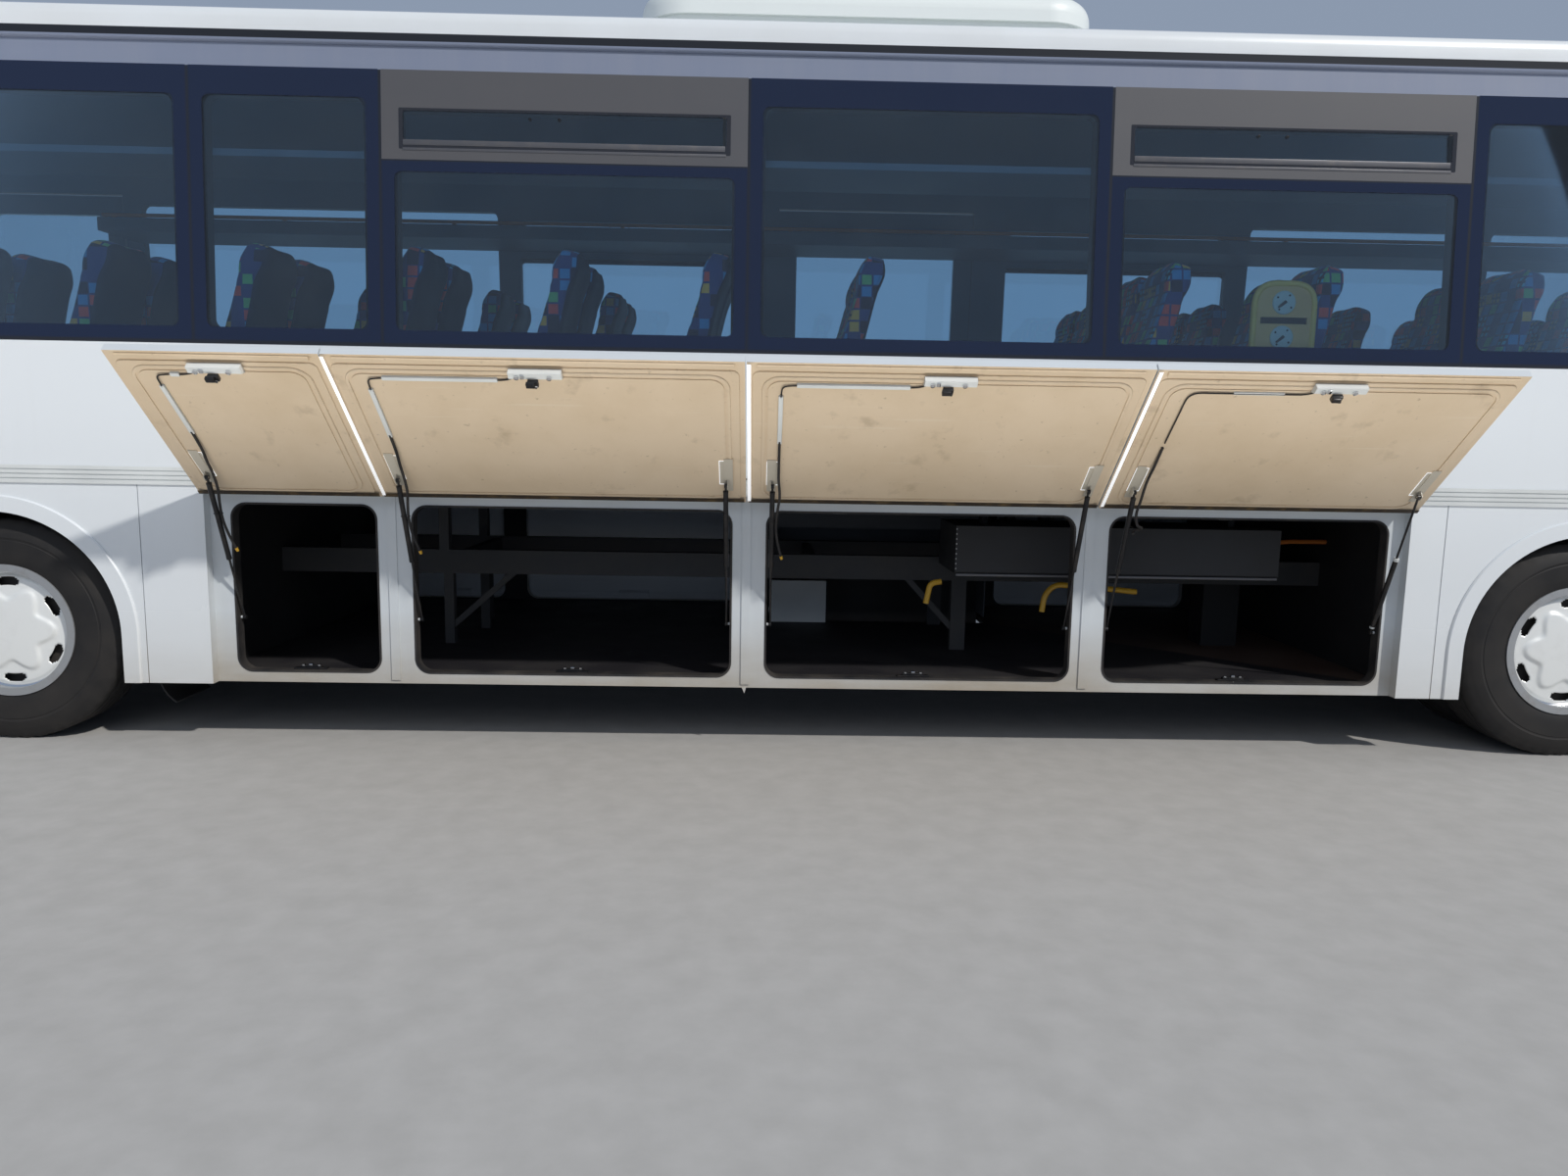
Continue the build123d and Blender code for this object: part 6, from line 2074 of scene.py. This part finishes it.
@dataclass
class Trim:
    """Outer trim: window flaps' beads, strip screws, hinges, wipers, mirror glass, exhaust."""

    roof_profile: tuple[Pair, ...] = (
        (1.219, 3.113), (1.2185, 3.160), (1.213, 3.186), (1.200, 3.204), (1.175, 3.215),
        (1.100, 3.222), (0.900, 3.226), (0.880, 3.190), (1.130, 3.140), (1.190, 3.113))
    roof_rear: float = -6.44
    roof_length: float = 12.76
    screws: int = 24
    screw_start: float = -2.40
    screw_pitch: float = 0.226
    screw_y: float = 1.2815
    screw_z: float = 1.250
    pin_radius: float = 0.0042
    wipers: tuple[Pair, ...] = ((0.58, -0.02), (-0.10, -0.70))
    mirror_y: Pair = (1.352, 1.484)
    mirror_z: Pair = (2.115, 2.455)
    exhaust: tuple[Point, ...] = ((-5.30, 0.60, 0.42), (-5.90, 0.86, 0.26), (-6.54, 0.86, 0.235))
    exhaust_radius: float = 0.045

    def flaps(self) -> None:
        """Beads and screws of the four window flaps, and at each flap's rear edge a black strip of
        painted shadow for the recess.
        """
        beads, knobs, flap_shadows = Maker("flap_beads"), Maker("flap_screws"), Maker("flap_gaps")
        for side in Side:
            for index in HOPPERS:
                front, rear = SEAMS[index], SEAMS[index + 1]
                y = side.value * lean_y(2.668)
                low = side.value * 0.006
                beads.box((rear + 0.104, y - low, 2.656), (front - 0.098, y + low / 2, 2.680),
                          0.003)
                y = side.value * lean_y(2.640)
                beads.box((rear + 0.100, y - low, 2.634), (front - 0.096, y + low / 3, 2.646),
                          0.002)
                # Painted shadow: a black box that stands in for the shade in the flap's rear
                # recess.
                y = side.value * lean_y(2.760)
                flap_shadows.box((rear + 0.101, y - low, 2.680), (rear + 0.115, y - low / 3, 2.799))
                for off in (0.642, 0.768):
                    knobs.lathe([(0.0, 0.0), (0.008, 0.0), (0.007, 0.006), (0.0, 0.007)],
                                (front - off, side.value * (lean_y(2.775) - 0.006), 2.775), 14,
                                side.value)
        beads.done(BEAD_GREY)
        knobs.done(STRUT_BLACK)
        flap_shadows.done(SEAL_BLACK)

    def roof_edges(self) -> None:
        """White fairing along each edge of the roof."""
        edge = Maker("roof_edges")
        for side in Side:
            outline = [(self.roof_rear, side.value * y, z) for y, z in self.roof_profile]
            edge.prism(outline, (self.roof_length, 0, 0))
        # The fairing's underside takes the roof skin's black band of painted shadow.
        edge.done(ROOF_SKIN, "coach_body", 30.0)

    def strips(self) -> None:
        """Screw heads along the side strips, and the pin of each left luggage door's hinge."""
        screws = Maker("strip_screws")
        for side in Side:
            for k in range(self.screws):
                x = self.screw_start + k * self.screw_pitch
                screws.lathe([(0.0, 0.0), (0.0045, 0.0), (0.0035, 0.0016), (0.0, 0.002)],
                             (x, side.value * self.screw_y, self.screw_z), 10, side.value)
        screws.done(STRUT_BLACK)
        for bay in BAYS:
            hinge = Maker(f"hinge_pin_{bay.name}")
            hinge.tube([(bay.rear + 0.012, *HINGE), (bay.front - 0.012, *HINGE)],
                       self.pin_radius, 10)
            hinge.done(HINGE_GRIME)

    def front(self) -> None:
        """Wipers at rest along the foot of the windscreen, and mirror glasses."""
        arms, blades = Maker("wiper_arms"), Maker("wiper_blades")
        for near, far in self.wipers:
            arms.tube([(6.606, near, 1.262), (6.612, (near + far) / 2, 1.300),
                       (6.612, far + 0.05, 1.352)], [0.010, 0.008, 0.006], 10)
            arms.tube([(6.596, near, 1.262), (6.612, near, 1.262)], 0.016, 14)
            blades.box((6.598, far - 0.24, 1.350), (6.610, far + 0.34, 1.362), 0.002)
        arms.done(STRUT_BLACK)
        blades.done(SEAL_BLACK)
        glass = Maker("mirror_faces")
        for side in Side:
            y0, y1 = sorted(side.value * y for y in self.mirror_y)
            glass.box((6.6265, y0, self.mirror_z[0]), (6.6305, y1, self.mirror_z[1]), 0.0015)
        glass.done(MIRROR_GLASS)

    def rear(self) -> None:
        """Exhaust pipe under the rear bumper."""
        pipe = Maker("exhaust_pipe")
        pipe.tube(bent(self.exhaust, 0.25, 8), self.exhaust_radius, 24)
        pipe.done(RUST_IRON)
        mouth = Maker("exhaust_mouth")
        mouth.tube([(-6.539, 0.86, 0.235), (-6.5415, 0.86, 0.235)], 0.039, 24)
        mouth.done(SEAL_BLACK)

    def build(self) -> None:
        """Adds all of the trim."""
        self.flaps()
        self.roof_edges()
        self.strips()
        self.front()
        self.rear()
        log.info("trim added")


@dataclass
class Studio:
    """Pale floor, soft lights and the camera at the photograph's angle."""

    place: Point = (0.46218, 6.13405, 1.42752)
    yaw: float = 1.19057
    pitch: float = 7.79199
    roll: float = 0.99284
    lens: float = 24.874
    sky: Colour = (0.62, 0.76, 1.0)
    sky_strength: float = 0.42
    sun_power: float = 2.5
    sun_width: float = 2.0
    sun_way: Point = (1.0, -1.0, -1.257)
    warm: Colour = (1.0, 0.97, 0.92)
    floor_half: float = 60.0

    def camera(self) -> None:
        """Sets the camera: position, turn and lens."""
        yaw, pitch, roll = (math.radians(v) for v in (self.yaw, self.pitch, self.roll))
        forward = Vector((-math.sin(yaw) * math.cos(pitch), -math.cos(yaw) * math.cos(pitch),
                          -math.sin(pitch)))
        level = Vector((-math.cos(yaw), math.sin(yaw), 0))
        up = level.cross(forward)
        right = level * math.cos(roll) + up * math.sin(roll)
        above = -level * math.sin(roll) + up * math.cos(roll)
        data = bpy.data.cameras.new("view")
        data.lens = self.lens
        data.sensor_width = 36.0
        data.clip_end = 200.0
        made = bpy.data.objects.new("view", data)
        matrix = Matrix((right, above, -forward)).transposed().to_4x4()
        matrix.translation = Vector(self.place)
        made.matrix_world = matrix
        bpy.context.scene.collection.objects.link(made)
        bpy.context.scene.camera = made

    def light(self, name: str, place: Point, target: Point, size: Pair,
              power: float, colour: Colour = (1.0, 1.0, 1.0), spread: float = 180.0) -> None:
        """Adds one soft area light, kept to a cone when a spread is given.

        Args:
            name: Name of the light.
            place: Where it hangs.
            target: Where it points.
            size: Its two sides.
            power: Watts.
            colour: Its colour.
            spread: Angle of the cone in degrees.
        """
        data = bpy.data.lights.new(name, "AREA")
        data.shape = "RECTANGLE"
        data.size, data.size_y = size
        data.energy = power
        data.color = colour
        data.spread = math.radians(spread)
        made = bpy.data.objects.new(name, data)
        made.location = place
        made.rotation_euler = (Vector(target) - Vector(place)).to_track_quat("-Z", "Y").to_euler()
        bpy.context.scene.collection.objects.link(made)
        made.visible_glossy = False
        made.visible_camera = False

    def floor(self) -> None:
        """Pale floor with a faint grain."""
        mesh = bpy.data.meshes.new("studio_floor")
        size = self.floor_half
        mesh.from_pydata([(-size, -size, 0), (size, -size, 0), (size, size, 0),
                          (-size, size, 0)], [], [(0, 1, 2, 3)])
        made = bpy.data.objects.new("studio_floor", mesh)
        bpy.context.scene.collection.objects.link(made)
        s = Shader("studio_floor")
        grain = s.noise(8.0, 5.0)
        mesh.materials.append(s.surface(
            s.mix(s.ramp(grain, 0.3, 0.7), (0.40, 0.39, 0.375), (0.45, 0.44, 0.425)), 0.9, 0.0,
            s.bump(grain, 0.05)))

    def build(self) -> None:
        """Builds the whole studio."""
        world = bpy.data.worlds.new("studio")
        world.use_nodes = True
        background = world.node_tree.nodes["Background"]
        background.inputs["Color"].default_value = (*self.sky, 1.0)
        background.inputs["Strength"].default_value = self.sky_strength
        bpy.context.scene.world = world
        self.floor()
        sun = bpy.data.lights.new("key", "SUN")
        sun.energy = self.sun_power
        sun.angle = math.radians(self.sun_width)
        sun.color = self.warm
        made = bpy.data.objects.new("key", sun)
        made.rotation_euler = Vector(self.sun_way).to_track_quat("-Z", "Y").to_euler()
        bpy.context.scene.collection.objects.link(made)
        self.light("fill_left", (2.0, 12.0, 7.0), (0.0, 0.0, 1.2), (10.0, 5.0), 150.0)
        self.light("bounce_low", (0.0, 2.5, 0.03), (0.0, 2.0, 1.5), (13.0, 0.9), 60.0,
                   self.warm, spread=80.0)
        self.light("rim_right", (-3.0, -12.0, 7.0), (0.0, 0.0, 1.5), (12.0, 6.0), 220.0)
        self.camera()
        bpy.context.scene.view_settings.view_transform = "Standard"
        log.info("studio built")


def sizes() -> None:
    """Updates the view layer.
    """
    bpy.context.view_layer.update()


def main() -> None:
    """Builds the coach's looks in order."""
    sizes()
    Shell().build()
    BayInside().build()
    BayDoors().build()
    Struts().build()
    Hoses().build()
    Wheels().build()
    Cabin().build()
    SeatForms().build()
    Trim().build()
    Studio().build()
    sizes()


if __name__ == "__main__":
    logging.basicConfig(level=logging.INFO, format="%(message)s")
    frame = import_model()
    main()
